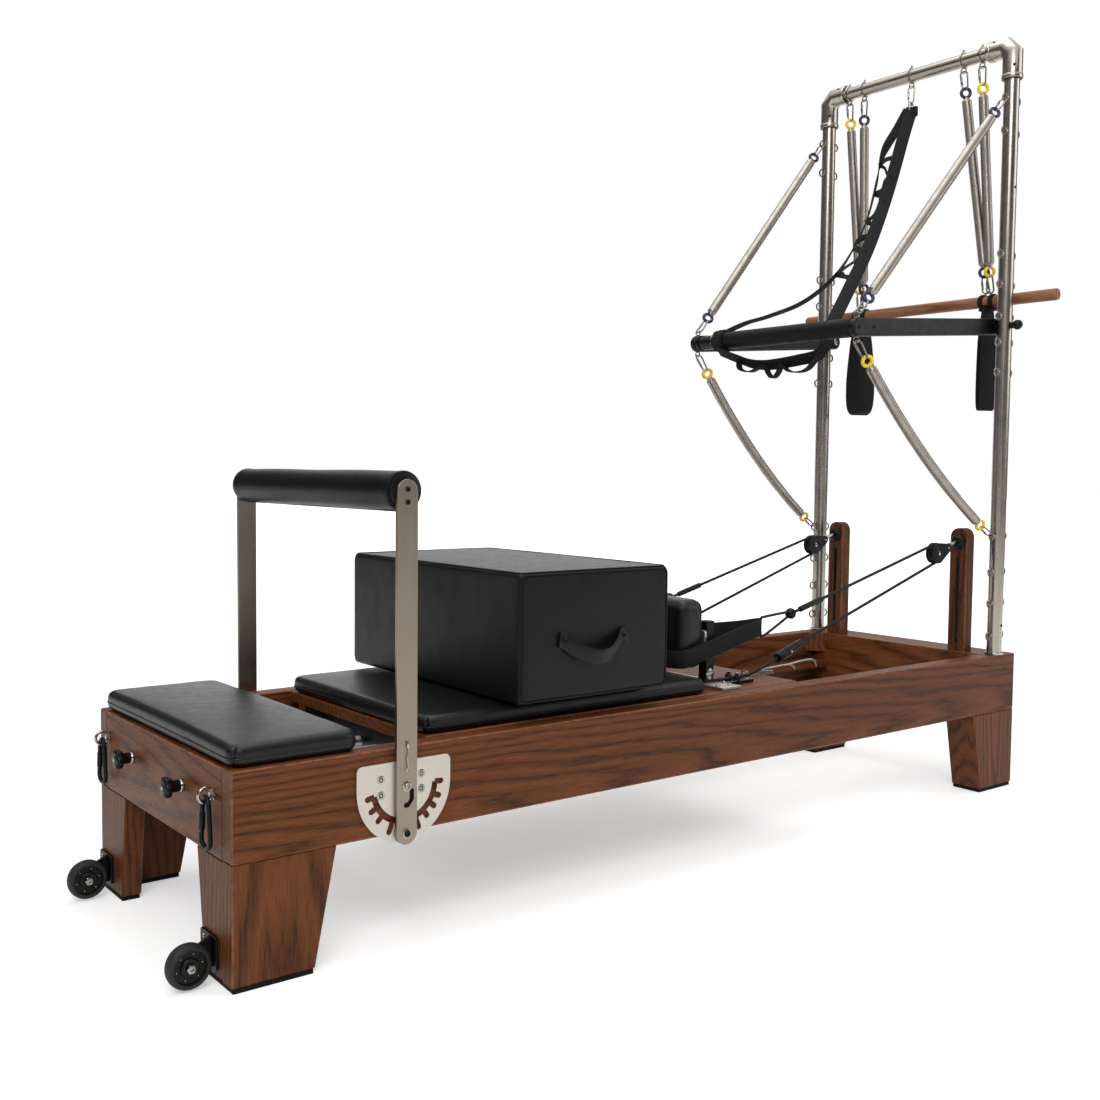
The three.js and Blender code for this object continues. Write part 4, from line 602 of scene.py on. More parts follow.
def lathe(piece, profile, at, axis, material, sides=32, closed=False, lobes=None):
    """Turns (radius, distance) stations about an axis. lobes(angle, radius) may shape the rim."""
    at, axis = np.asarray(at, float), unit(axis)
    x, y = across(axis)
    angles = 2 * np.pi * np.arange(sides) / sides
    points, rows = [], []
    for r, d in profile:
        if r <= 1e-6:
            rows.append([len(points)])
            points.append(at + axis * d)
            continue
        row = []
        for angle in angles:
            rr = lobes(angle, r) if lobes else r
            row.append(len(points))
            points.append(at + axis * d + rr * (math.cos(angle) * x + math.sin(angle) * y))
        rows.append(row)
    faces, uvs = [], []
    count = len(rows)
    along = 0.0
    for i in range(count if closed else count - 1):
        j = (i + 1) % count
        (r0, d0), (r1, d1) = profile[i], profile[j]
        nxt = along + math.hypot(r1 - r0, d1 - d0)
        a, b = rows[i], rows[j]
        for k in range(sides):
            after = (k + 1) % sides
            g0, g1 = k / sides * 2 * math.pi * max(r0, r1), (k + 1) / sides * 2 * math.pi * max(r0, r1)
            if len(a) == 1 and len(b) == 1:
                continue
            if len(a) == 1:
                faces.append((a[0], b[after], b[k]))
                uvs.append(((along, g0), (nxt, g1), (nxt, g0)))
            elif len(b) == 1:
                faces.append((a[k], a[after], b[0]))
                uvs.append(((along, g0), (along, g1), (nxt, g0)))
            else:
                faces.append((a[k], a[after], b[after], b[k]))
                uvs.append(((along, g0), (along, g1), (nxt, g1), (nxt, g0)))
        along = nxt
    return piece.add(points, faces, material, uvs)


def dome(piece, radius, at, axis, material, height, sides=24, rim=0.0):
    """A rounded bolt head or button standing on a face."""
    stations = [(radius, 0.0), (radius, rim)]
    for i in range(1, 6):
        a = math.pi / 2 * i / 5
        stations.append((radius * math.cos(a), rim + (height - rim) * math.sin(a)))
    stations[-1] = (0.0, height)
    return lathe(piece, stations, at, axis, material, sides)


def hex_head(piece, radius, at, axis, material, height):
    """A hexagon bolt head with a hollow top."""
    return lathe(piece, [(radius, 0), (radius, height * 0.8), (radius * 0.86, height), (radius * 0.45, height),
                         (radius * 0.45, height * 0.4), (0, height * 0.4)], at, axis, material, 6)


def ball(piece, radius, at, material, sides):
    """A ball in twelve bands."""
    stations = [(radius * math.sin(math.pi * i / 12), -radius * math.cos(math.pi * i / 12)) for i in range(13)]
    stations[0], stations[-1] = (0.0, -radius), (0.0, radius)
    return lathe(piece, stations, at, (0, 0, 1), material, sides)


def torus(piece, radius, wire_radius, at, axis, material, sides=28, around=10):
    """A ring of wire about an axis."""
    axis = unit(axis)
    x, y = across(axis)
    angles = np.radians(360.0 * np.arange(sides) / sides)
    path = np.asarray(at, float) + radius * (np.cos(angles)[:, None] * x + np.sin(angles)[:, None] * y)
    return sweep(piece, path, circle(wire_radius, around), material, up=np.tile(axis, (sides, 1)), closed=True)


def catmull(points, count, closed=False):
    """A smooth curve through points, in even steps."""
    p = np.asarray(points, float)
    if closed:
        p = np.vstack([p[-1], p, p[0], p[1]])
    else:
        p = np.vstack([2 * p[0] - p[1], p, 2 * p[-1] - p[-2]])
    dense = []
    for i in range(1, len(p) - 2):
        t = np.linspace(0, 1, 24, endpoint=False)[:, None]
        a, b, c, d = p[i - 1], p[i], p[i + 1], p[i + 2]
        dense.append(0.5 * (2 * b + (c - a) * t + (2 * a - 5 * b + 4 * c - d) * t ** 2
                            + (3 * b - a - 3 * c + d) * t ** 3))
    dense = np.vstack(dense + [p[-2:-1]])
    reach = reach_of(dense)
    out = at_reach(dense, reach, np.linspace(0, reach[-1], count + (1 if closed else 0)))
    return out[:-1] if closed else out


def prism(piece, outer, holes, low, high, axis, material, bevel, steps=2):
    """A plate cut from sheet: a flat outline with holes, extruded along an axis with softened edges."""
    curve = bpy.data.curves.new("outline", "CURVE")
    curve.dimensions = "2D"
    curve.fill_mode = "BOTH"
    for ring in [outer] + list(holes):
        spline = curve.splines.new("POLY")
        spline.points.add(len(ring) - 1)
        for point, (a, b) in zip(spline.points, ring):
            point.co = (a, b, 0, 1)
        spline.use_cyclic_u = True
    middle, half = (low + high) / 2, abs(high - low) / 2
    curve.extrude = half - bevel
    curve.bevel_depth = bevel
    curve.bevel_resolution = steps
    curve.offset = -bevel
    held = shown("outline", curve)
    bpy.context.view_layer.update()
    mesh = bpy.data.meshes.new_from_object(held.evaluated_get(bpy.context.evaluated_depsgraph_get()))
    local = np.array([v.co[:] for v in mesh.vertices])
    faces = [tuple(p.vertices) for p in mesh.polygons]
    bpy.data.objects.remove(held)
    bpy.data.curves.remove(curve)
    bpy.data.meshes.remove(mesh)
    a, b, c = local[:, 0], local[:, 1], local[:, 2]
    if axis == 1:
        points = np.stack([a, middle - c, b], 1)
    elif axis == 0:
        points = np.stack([middle + c, a, b], 1)
    else:
        points = np.stack([a, b, middle + c], 1)
    return piece.add(points, faces, material)


def rect(low, high, inset=0.0):
    """A flat rectangle's four corners, drawn in by an inset."""
    (a, b), (c, d) = low, high
    return [(a + inset, b + inset), (c - inset, b + inset), (c - inset, d - inset), (a + inset, d - inset)]


def box(piece, low, high, material, bevel=1.0):
    """A machined block with bevelled edges."""
    low, high = np.minimum(low, high).astype(float), np.maximum(low, high).astype(float)
    bevel = min(bevel, (high - low).min() / 2.5)
    return prism(piece, rect(low[:2], high[:2]), [], low[2], high[2], 2, material, bevel, 1)


def rounded(points, radii, steps=6):
    """A polygon's outline with its corners rounded."""
    out = []
    count = len(points)
    for i in range(count):
        p, a, b = (np.asarray(points[k], float) for k in (i, i - 1, (i + 1) % count))
        r = radii[i] if np.ndim(radii) else radii
        if r <= 0:
            out.append(tuple(p))
            continue
        da, db = unit(a - p), unit(b - p)
        angle = math.acos(np.clip(da.dot(db), -1, 1)) / 2
        cut_back = min(r / math.tan(angle), np.linalg.norm(a - p) * 0.49, np.linalg.norm(b - p) * 0.49)
        r = cut_back * math.tan(angle)
        centre = p + unit(da + db) * (r / math.sin(angle))
        first, last = p + da * cut_back - centre, p + db * cut_back - centre
        a0 = math.atan2(first[1], first[0])
        turn = (math.atan2(last[1], last[0]) - a0 + math.pi) % (2 * math.pi) - math.pi
        for k in range(steps + 1):
            g = a0 + turn * k / steps
            out.append((centre[0] + r * math.cos(g), centre[1] + r * math.sin(g)))
    return out


def arc(centre, radius, first, last, steps):
    """Points of an arc between two angles in degrees."""
    return [(centre[0] + radius * math.cos(math.radians(first + (last - first) * i / steps)),
             centre[1] + radius * math.sin(math.radians(first + (last - first) * i / steps))) for i in range(steps + 1)]


def link(a, b, side, width, taper=0.0, steps=28):
    """The centre line of a wire link: half turns round its two ends, wider at one end if tapered."""
    a, b, side = np.asarray(a, float), np.asarray(b, float), unit(side)
    t = unit(b - a)
    length = np.linalg.norm(b - a)
    half = width / 2
    points = []
    for i in range(steps):
        angle = 2 * math.pi * i / steps
        along = length / 2 - (length / 2 - half) * np.sign(math.cos(angle)) - half * math.cos(angle)
        share = along / length
        wide = half * math.sin(angle) * (1 + taper * (1 - 2 * share))
        points.append(a + t * along + side * wide)
    return np.array(points)


# Shared shapes

CRISP = math.radians(30.0)


def dress(node, key):
    """Gives a CAD node its finish and keeps its edges crisp."""
    mesh = bpy.data.objects[node].data
    mesh.materials.clear()
    mesh.materials.append(M[key])
    mesh.polygons.foreach_set("material_index", [0] * len(mesh.polygons))
    mesh.polygons.foreach_set("use_smooth", [True] * len(mesh.polygons))
    mesh.set_sharp_from_angle(angle=CRISP)


def round_plan(points, half, radius):
    """Draws the square corners of a plan in to arcs."""
    over = np.abs(points) - (half - radius)
    both = (over > 0).all(1)
    length = np.maximum(np.hypot(over[:, 0], over[:, 1]), 1e-9)
    share = np.where(both, over.max(1) / length, 1.0)[:, None]
    return np.where(both[:, None], np.sign(points) * (half - radius + over * share), points)


def cushion(piece, low, high, edge, crown, draw, material, cell=16.0, wrinkle=0.0, fold=0.0, seed=0.0, plan=0.0):
    """An upholstered block: rounded edges, crowned top, sides drawn in, and tension wrinkles at its edges."""
    low, high = np.asarray(low, float), np.asarray(high, float)
    size, centre = high - low, (high + low) / 2
    stops = []
    for length in size:
        corner = [edge * (1 - math.tan(math.pi / 4 * i / 4)) for i in (4, 3, 2, 1, 0)]
        count = max(2, int(round((length - 2 * edge) / cell)))
        inner = list(np.linspace(edge, length - edge, count + 1)[1:-1])
        stops.append(np.array(corner + inner + [length - c for c in reversed(corner)]))
    for axis in range(3):
        u, v = (axis + 1) % 3, (axis + 2) % 3
        for side in (0, 1):
            a, b = np.meshgrid(stops[u], stops[v], indexing="ij")
            raw = np.zeros(a.shape + (3,))
            raw[..., axis] = side * size[axis]
            raw[..., u], raw[..., v] = a, b
            raw = raw.reshape(-1, 3)
            core = np.clip(raw, edge, size - edge)
            away = raw - core
            away /= np.maximum(np.linalg.norm(away, axis=1), 1e-9)[:, None]
            local = core + edge * away - size / 2
            share = 2 * local / size
            bulge = np.clip(1 - share ** 2, 0, 1)
            level = (share[:, 2] + 1) / 2
            moved = local.copy()
            for i in (0, 1):
                moved[:, i] -= draw * share[:, i] ** 3 * bulge[:, 1 - i] * np.clip(bulge[:, 2] + 0.2, 0, 1)
            moved[:, 2] += crown * bulge[:, 0] ** 0.7 * bulge[:, 1] ** 0.7 * level ** 2
            if wrinkle or fold:
                near_edge = np.clip(np.maximum(np.abs(share[:, 0]), np.abs(share[:, 1])), 0, 1) ** 6
                amount = []
                for point, weight in zip(local, near_edge):
                    fine = noise.noise(Vector((point[0] / 26 + seed, point[1] / 26, point[2] / 60)))
                    wide = noise.noise(Vector((point[0] / 120 + seed, point[1] / 120 + 3.1, point[2] / 120)))
                    amount.append(wrinkle * fine * (0.25 + 0.75 * weight) + fold * wide)
                moved += away * np.array(amount)[:, None]
            if plan:
                moved[:, :2] = round_plan(moved[:, :2], size[:2] / 2, plan)
            n, m = a.shape
            faces = []
            for i in range(n - 1):
                for j in range(m - 1):
                    quad = (i * m + j, (i + 1) * m + j, (i + 1) * m + j + 1, i * m + j + 1)
                    faces.append(quad if side else quad[::-1])
            piece.add(centre + moved, faces, material)
    return piece


def along(ring, spacing):
    """Fills a closed flat outline with evenly spaced points."""
    dense = []
    for i, a in enumerate(ring):
        b = ring[(i + 1) % len(ring)]
        count = max(1, int(math.dist(a, b) / spacing))
        dense += [tuple(p + (q - p) * k / count for p, q in zip(a, b)) for k in range(count)]
    return dense


def plan_rect(low, high, radius, level, inset):
    """A rounded rectangle in plan at one height, as a closed path."""
    return np.array([(x, y, level) for x, y in along(rounded(rect(low[:2], high[:2], inset), radius), 14.0)])


def drawn_in(path, low, high, draw):
    """Moves a path on a cushion's side in with that side."""
    low, high = np.asarray(low, float), np.asarray(high, float)
    size, centre = high - low, (high + low) / 2
    moved = np.array(path, float)
    share = np.clip(2 * (moved - centre) / size, -1, 1)
    for i in (0, 1):
        moved[:, i] -= draw * share[:, i] ** 3 * (1 - share[:, 1 - i] ** 2)
    return moved


def stitches(piece, path, spacing, length, radius, material, closed=False):
    """A row of thread stitches lying along a path."""
    path = np.asarray(path, float)
    if closed:
        path = np.vstack([path, path[:1]])
    reach = reach_of(path)
    for i in range(int(reach[-1] / spacing)):
        middle = (i + 0.5) * spacing
        a, b = (at_reach(path, reach, d) for d in (middle - length / 2, middle + length / 2))
        sweep(piece, [a, (a + b) / 2, b], circle(radius, 5), material, scale=[0.55, 1.0, 0.55])
    return piece


def mitred(piece, path, radius, material, sides):
    """A round tube with mitred corners."""
    path = [np.asarray(p, float) for p in path]
    directions = [unit(b - a) for a, b in zip(path, path[1:])]
    x = np.array([1.0, 0.0, 0.0])
    x = unit(x - x.dot(directions[0]) * directions[0])
    rings = []
    for i, centre in enumerate(path):
        t = directions[min(i, len(directions) - 1)]
        before = directions[max(i - 1, 0)]
        y = np.cross(before, x)
        n = unit(t + before)
        ring = []
        for k in range(sides):
            a = 2 * math.pi * k / sides
            v = radius * (math.cos(a) * x + math.sin(a) * y)
            ring.append(centre + v - before * (v.dot(n) / before.dot(n)))
        rings.append(ring)
    return piece.add(np.array(rings).reshape(-1, 3), skin(len(path), sides), material)


def button(piece, radius, at, axis, material, height):
    """A button-head screw with a socket in its top."""
    hollow = radius * 0.45
    return lathe(piece, [(radius, 0.0), (radius, height * 0.25), (radius * 0.93, height * 0.6),
                         (radius * 0.75, height * 0.88), (hollow * 1.25, height), (hollow, height * 0.96),
                         (hollow, height * 0.35), (0, height * 0.3)], at, axis, material, 24)


def coil(piece, centre, radii, pitch, wire_radius, material, steps=6, sides=24):
    """A close-wound spring: a tube whose wall rises and falls with each turn of its wire, along a dense path."""
    centre = np.asarray(centre, float)
    reach = reach_of(centre)
    count = int(reach[-1] / pitch * steps) + 1
    at = np.linspace(0, reach[-1], count)
    line = at_reach(centre, reach, at)
    _, side, normal = frames(line)
    radius = np.interp(at, reach, radii)
    angle = 2 * np.pi * np.arange(sides) / sides
    turn = (at[:, None] / pitch - angle[None, :] / (2 * np.pi)) % 1.0
    wall = radius[:, None] + wire_radius * np.sqrt(1 - 0.45 * (2 * turn - 1) ** 2)
    rings = line[:, None, :] + wall[:, :, None] * (np.cos(angle)[None, :, None] * side[:, None, :]
                                                   + np.sin(angle)[None, :, None] * normal[:, None, :])
    return piece.add(rings.reshape(-1, 3), skin(count, sides), material)


CLIP_LENGTH = 52


def clip(piece, a, b, side, width, wire_radius, material):
    """A snap clip: a bent wire link with its gate on one side and a small knuckle."""
    a, b, side = np.asarray(a, float), np.asarray(b, float), unit(side)
    sweep(piece, link(a, b, side, width, 0.2, 40), circle(wire_radius, 8), material, closed=True)
    t, length = unit(b - a), np.linalg.norm(b - a)
    low = a + t * length * 0.28 + side * width * 0.5
    high = a + t * length * 0.72 + side * width * 0.47
    rod(piece, wire_radius * 1.35, low, high, material, 10, soft=wire_radius * 0.5)
    ball(piece, wire_radius * 1.5, low, material, 10)
    return piece


def cord(piece, path):
    """A run of the 8 mm rope."""
    return sweep(piece, path, circle(4, 12), "rope")


def stitch_rows(piece, path, up, offset, lift, spacing, length, radius, closed=False, part=None):
    """Stitches near both edges of a strap and on both of its faces, or on one part of it."""
    _, wide, out = frames(path, up, closed)
    for aside in (-offset, offset):
        for face in (-1, 1):
            row = path + wide * aside + out * face * lift
            stitches(piece, row[part] if part else row, spacing, length, radius, "thread", closed and not part)


def both_ways(half):
    """A turned section from its half: the half's mirror image about distance 0, then the half."""
    return [(r, -d) for r, d in reversed(half) if d] + half


# Bed

for name, key in (("side_rail_near", "rail_near"), ("side_rail_far", "rail_far"), ("head_deck", "deck"),
                  ("platform_board", "platform"), ("carriage_board", "carriage"), ("pulley_riser_near", "riser_near"),
                  ("pulley_riser_far", "riser_far")):
    dress(name, key)
for name in ("head_board", "leg_foot_near", "leg_foot_far", "leg_head_near", "leg_head_far", "spring_bar"):
    dress(name, name)

EYE_X, EYE_Y, EYE_Z = -14.5, (-264, 285), 333
foot_end = Piece("foot_board_and_eyes")
box(foot_end, (0.2, -297.8, 224.2), (42, 297.8, 385.8), "foot_board", 1.6)
for y in EYE_Y:
    lathe(foot_end, [(0, 1.2), (11, 1.2), (11, 3.0), (9.6, 4.2), (5.5, 4.6), (5.5, 7.5), (0, 7.5)],
          (0.4, y, EYE_Z), (-1, 0, 0), "chrome", 28)
    torus(foot_end, 13, 3, (EYE_X, y, EYE_Z), (0, 1, 0), "chrome", 36, 10)
foot_end.make("bench", ["foot_board"], "walnut")

# The fixed platform pad and the carriage pad, stapled over their boards
for label, body, low, high, edge, cell, welt_z, fold, seed in (
        ("platform", "bench", (5, -329, 386.3), (255, 329, 425), 14, 9, 403, 0.8, 1.7),
        ("carriage", "carriage", (417, -290, 386.3), (1190, 290, 422), 13, 11, 400, 1.0, 7.3)):
    pad = Piece(label + "_pad_cover")
    cushion(pad, low, high, edge, 9, 2, "pad", cell, wrinkle=0.5, fold=fold, seed=seed, plan=27)
    sweep(pad, drawn_in(plan_rect(low, high, 27, welt_z, -0.3), low, high, 2), circle(1.5, 8), "pad", closed=True)
    pad.make(body, [label + "_pad"], "upholstery", weld=True, sharp=70)

# Knobs, wheels and hooks on the foot end
KNOB_Z = 318
for (label, side), y in zip(SIDES, (-120, 142)):
    knob = Piece("adjusting_knob_" + label)
    lobe = lambda angle, r: r - (3.0 * (1 - math.cos(6 * angle)) / 2) * min(1.0, max(0.0, (r - 12) / 6))
    lathe(knob, [(0, 16), (6, 16), (7, 15.2), (13, 15.4), (17.5, 14.4), (19.6, 12.2), (20, 10), (20, 5), (19.4, 2.4),
                 (17, 0.6), (12, 0.0), (11, -1.5), (11, -18), (12, -22), (0, -22)],
          (-22, y, KNOB_Z), (-1, 0, 0), "black_plastic", 72, lobes=lobe)
    lathe(knob, [(11.2, 0), (12, 0.6), (12, 5.2), (11.2, 6.0), (0, 6.0)], (-0.3, y, KNOB_Z), (-1, 0, 0), "chrome", 32)
    rod(knob, 5, (-3, y, KNOB_Z), (48, y, KNOB_Z), "chrome", 16, soft=1)
    dome(knob, 4.4, (-38, y, KNOB_Z), (-1, 0, 0), "chrome", 1.2)
    knob.make("knob_" + label, ["foot_knob_" + label], "black_plastic", sharp=50)

CASTOR_X, CASTOR_Z = -52, 43
for label, side in SIDES:
    y = side * 275
    bracket = Piece("castor_bracket_" + label)
    foot_plate = rounded(rect((y - 8, 24), (y + 61, 84)), 5)
    prism(bracket, foot_plate, [], -5.3, -0.3, 0, "black_metal", 0.8)
    cheek = rounded([(-2, 24), (-44, 27.5), (-66, 30), (-69, 50), (-52, 60), (-2, 84)], [1, 4, 9, 9, 8, 1], 6)
    prism(bracket, cheek, [], y + 14.5, y + 19, 1, "black_metal", 0.8)
    rod(bracket, 5, (CASTOR_X, y - 16, CASTOR_Z), (CASTOR_X, y + 20, CASTOR_Z), "chrome", 24, soft=0.6)
    hex_head(bracket, 8.6, (CASTOR_X, y - 14.4, CASTOR_Z), (0, -1, 0), "chrome", 4.2)
    hex_head(bracket, 9, (CASTOR_X, y + 19, CASTOR_Z), (0, 1, 0), "chrome", 5)
    for z in (34, 54, 74):
        button(bracket, 4.2, (-5.3, y + 44, z), (-1, 0, 0), "chrome", 2.4)
    bracket.make("bench", ["wheel_bracket_" + label], "black_coated_steel")
    wheel = Piece("castor_wheel_" + label)
    lathe(wheel, both_ways([(40, 2), (39.4, 7), (37.6, 11.4), (35.4, 12.9), (30.5, 12.6), (30, 7)]),
          (CASTOR_X, y, CASTOR_Z), (0, 1, 0), "rubber", 72, closed=True)
    lathe(wheel, both_ways([(31, 11.6), (30.2, 8.4), (29.2, 7.0), (17.6, 7.4), (17, 11.4), (15.4, 12.8), (5.4, 12.8)]),
          (CASTOR_X, y, CASTOR_Z), (0, 1, 0), "black_plastic", 64, closed=True)
    for k in range(6):
        a = math.radians(60 * k + 12)
        for hand in (-1, 1):
            at = (CASTOR_X + 23.5 * math.cos(a), y + hand * 6.9, CASTOR_Z + 23.5 * math.sin(a))
            dome(wheel, 1.5, at, (0, hand, 0), "chrome", 0.9, 12)
    wheel.make("wheel_" + label, ["transport_wheel_" + label], "black_plastic")

HOOK_WIRE = 4.5
for (label, side), y in zip(SIDES, EYE_Y):
    hook = Piece("snap_hook_body_" + label)
    top = EYE_Z - 13 * math.cos(math.pi / 6) + 3 + HOOK_WIRE + 0.9
    path = link((EYE_X, y, top), (EYE_X, y, top - 90), (0, 1, 0), 34, -0.26, 56)
    sweep(hook, path, circle(HOOK_WIRE, 12), "black_metal", closed=True)
    rod(hook, 5.6, (EYE_X, y + 14.6, top - 30), (EYE_X, y + 17.4, top - 62), "black_metal", 16, soft=1.4)
    rod(hook, 2.2, (EYE_X - 4.1, y + 17.2, top - 62), (EYE_X + 4.1, y + 17.2, top - 62), "chrome", 12)
    hook.make("hook_" + label, ["snap_hook_" + label], "black_coated_steel")

# Footbar

PIVOT = (338, 314)
ROLLER_Z = 860


def on_plate(degrees, radius, aside=0.0):
    """A point of the plate by its angle from straight below the pivot and its distance from it."""
    a = math.radians(degrees)
    return (PIVOT[0] + radius * math.sin(a) + aside * math.cos(a),
            PIVOT[1] - radius * math.cos(a) + aside * math.sin(a))


def slotted_channel():
    """The curved slot with its notches, as one outline round the pivot."""
    notches = [(-79, 80), (-61, 81), (-44, 81), (-22, 89), (0, 89), (20, 89), (37, 81), (53, 81), (68, 81), (88, 80)]
    half, outer, inner = 5.5, 72.0, 60.0
    spread = math.degrees(math.asin(half / outer))
    ring = [on_plate(notches[0][0], inner), on_plate(notches[0][0], 66), on_plate(notches[0][0], 66, -half)]
    for index, (at, reach) in enumerate(notches):
        if index:
            ring.append(on_plate(at - spread, outer))
        for k in range(9):
            a = math.radians(180 - 180 * k / 8)
            ring.append(on_plate(at, reach + half * math.sin(a), half * math.cos(a)))
        if index < len(notches) - 1:
            here, after = at + spread, notches[index + 1][0] - spread
            for k in range(5):
                ring.append(on_plate(here + (after - here) * k / 4, outer))
            ring.pop()
    last = notches[-1][0]
    ring += [on_plate(last, 66, half), on_plate(last, 66)]
    for k in range(41):
        ring.append(on_plate(last + (notches[0][0] - last) * k / 40, inner))
    return ring[:-1]


for label, side in SIDES:
    plate = Piece("slotted_plate_" + label)
    top = PIVOT[1] + 47
    outer = arc((PIVOT[0] - 89, top - 12), 12, 180, 90, 8) + arc((PIVOT[0] + 89, top - 12), 12, 90, 0, 8)
    outer += [(PIVOT[0] + 101 * math.cos(a), PIVOT[1] - 106 * math.sin(a)) for a in np.radians(np.arange(0, 181, 3))]
    prism(plate, outer, [slotted_channel()], side * 340.4, side * 345.3, 1, "plate", 0.7)
    for dx, dz in ((-51, 17), (-51, -12), (36, 17), (36, -11)):
        at = (PIVOT[0] + dx, side * 345.3, PIVOT[1] + dz)
        lathe(plate, [(8.4, -0.6), (8.4, 0.0), (7.8, 0.2), (0, 0.2)], at, (0, side, 0), "chrome", 28)
        button(plate, 5.8, (PIVOT[0] + dx, side * 345.0, PIVOT[1] + dz), (0, side, 0), "black_metal", 0.6)
    plate.make("bench", ["quadrant_plate_" + label], "satin_steel")

    arm = Piece("footbar_side_" + label)
    ring = arc((PIVOT[0], ROLLER_Z), 22, 0, 180, 20) + arc((PIVOT[0], PIVOT[1] - 88), 22, 180, 360, 20)
    hook_slot = rounded([(PIVOT[0] + dx, z) for dx, z in ((6, 308), (15, 308), (15, 288), (5, 274), (-6, 274),
                                                          (-6, 283), (2, 283), (6, 290))], 3.4, 5)
    prism(arm, ring, [hook_slot], side * 345.7, side * 353.6, 1, "arm", 1.1)
    back = rounded(rect((PIVOT[0] - 12, 264), (PIVOT[0] + 20, 312)), 4)
    prism(arm, back, [], side * 345.9, side * 347.2, 1, "black_plastic", 0.3)
    rod(arm, 6, (PIVOT[0], side * 340.6, PIVOT[1]), (PIVOT[0], side * 353, PIVOT[1]), "chrome", 24)
    for z, screw in ((PIVOT[1], "chrome"), (PIVOT[1] - 89, "black_metal")):
        lathe(arm, [(10, 0), (10, 1.0), (9.4, 1.4), (0, 1.4)], (PIVOT[0], side * 353.4, z), (0, side, 0), "chrome", 32)
        button(arm, 6.6, (PIVOT[0], side * 354.6, z), (0, side, 0), screw, 3.8)
    button(arm, 5.0, (PIVOT[0], side * 353.5, PIVOT[1] + 30), (0, side, 0), "chrome", 2.8)
    for z in (ROLLER_Z + 4, ROLLER_Z - 20):
        button(arm, 5.2, (PIVOT[0], side * 353.5, z), (0, side, 0), "black_metal", 2.8)
    cable = [(0, 355.6, 78), (1.5, 356.4, 66), (-1.2, 356.4, 52), (1.0, 356.2, 34)]
    cable = catmull([(PIVOT[0] + dx, side * out, PIVOT[1] + dz) for dx, out, dz in cable], 24)
    sweep(arm, cable, circle(1.0, 8), "chrome")
    rod(arm, 2.6, (PIVOT[0], side * 355.6, PIVOT[1] + 84), (PIVOT[0], side * 355.8, PIVOT[1] + 72), "chrome", 14,
        soft=1)
    arm.make("footbar", ["footbar_arm_" + label], "satin_steel")

roller = Piece("footbar_roller_core")
rod(roller, 19, (PIVOT[0], -345, ROLLER_Z), (PIVOT[0], 345, ROLLER_Z), "steel_y", 40)
for side in (NEAR, FAR):
    lathe(roller, [(19, 0), (33, 0), (33, 2.2), (31.8, 3), (19, 3)], (PIVOT[0], side * 342.2, ROLLER_Z), (0, side, 0),
          "black_plastic", 48, closed=True)
roller.make("footbar", ["footbar_tube"], "satin_steel")

roller = Piece("footbar_roller_cover")
half = 341.9
stations = [(19.3, -half)]
for k in range(6):
    a = math.pi / 2 * k / 5
    stations.append((33 + 5 * math.sin(a), -half + 5 * (1 - math.cos(a))))
for k in range(1, 40):
    s = -1 + 2 * k / 40
    stations.append((38 - 1.1 * math.cos(2 * math.pi * s) * 0.5 - 0.5, s * (half - 5)))
for k in range(6):
    a = math.pi / 2 * (1 - k / 5)
    stations.append((33 + 5 * math.sin(a), half - 5 * (1 - math.cos(a))))
stations.append((19.3, half))
lathe(roller, stations, (PIVOT[0], 0, ROLLER_Z), (0, 1, 0), "roller", 64, closed=True)
a = math.radians(-98)
seam_x, seam_z = PIVOT[0] + 37.2 * math.cos(a), ROLLER_Z + 37.2 * math.sin(a)
seam_line = np.array([(seam_x, y, seam_z) for y in np.linspace(-334, 334, 80)])
sweep(roller, seam_line, circle(1.6, 8), "roller")
stitches(roller, seam_line, 6.0, 3.8, 0.7, "thread")
for side in (NEAR, FAR):
    torus(roller, 36.4, 1.3, (PIVOT[0], side * 337.6, ROLLER_Z), (0, 1, 0), "roller", 64, 8)
roller.make("footbar", ["footbar_pad"], "upholstery", sharp=60)

# Sitting box

BOX = ((607, -337, 429.5), (1012, 337, 695.5))
box_piece = Piece("sitting_box_cover")
cushion(box_piece, *BOX, 10, 4, -4, "box", 12, wrinkle=0.5, fold=1.0, seed=4.4)


def on_box(points):
    """Lays a path given on the box's plain faces onto its bulged ones."""
    low, high = np.array(BOX[0], float), np.array(BOX[1], float)
    size, centre = high - low, (high + low) / 2
    points = np.array(points, float)
    share = np.clip(2 * (points - centre) / size, -1, 1)
    bulge = np.clip(1 - share ** 2, 0, 1)
    for i in (0, 1):
        points[:, i] += 4 * share[:, i] ** 3 * bulge[:, 1 - i] * np.clip(bulge[:, 2] + 0.2, 0, 1)
    points[:, 2] += 4 * bulge[:, 0] ** 0.7 * bulge[:, 1] ** 0.7 * ((share[:, 2] + 1) / 2) ** 2
    return points


# Each edge has a line of thread and a rounded welt outside it, on both ends and round the lid
for inset, radius, key in ((7.5, 1.3, "seam"), (4.6, 1.7, "box")):
    end = along(rounded(rect(BOX[0][::2], BOX[1][::2], inset), 12), 9)
    lid = along(rounded(rect(BOX[0][:2], BOX[1][:2], inset), 12), 9)
    for route in ([(x, -336.6, z) for x, z in end], [(x, 336.6, z) for x, z in end], [(x, y, 695.2) for x, y in lid]):
        sweep(box_piece, on_box(route), circle(radius, 8), key, closed=True)
box_piece.make("box", ["sitting_box"], "upholstery", weld=True, sharp=70)

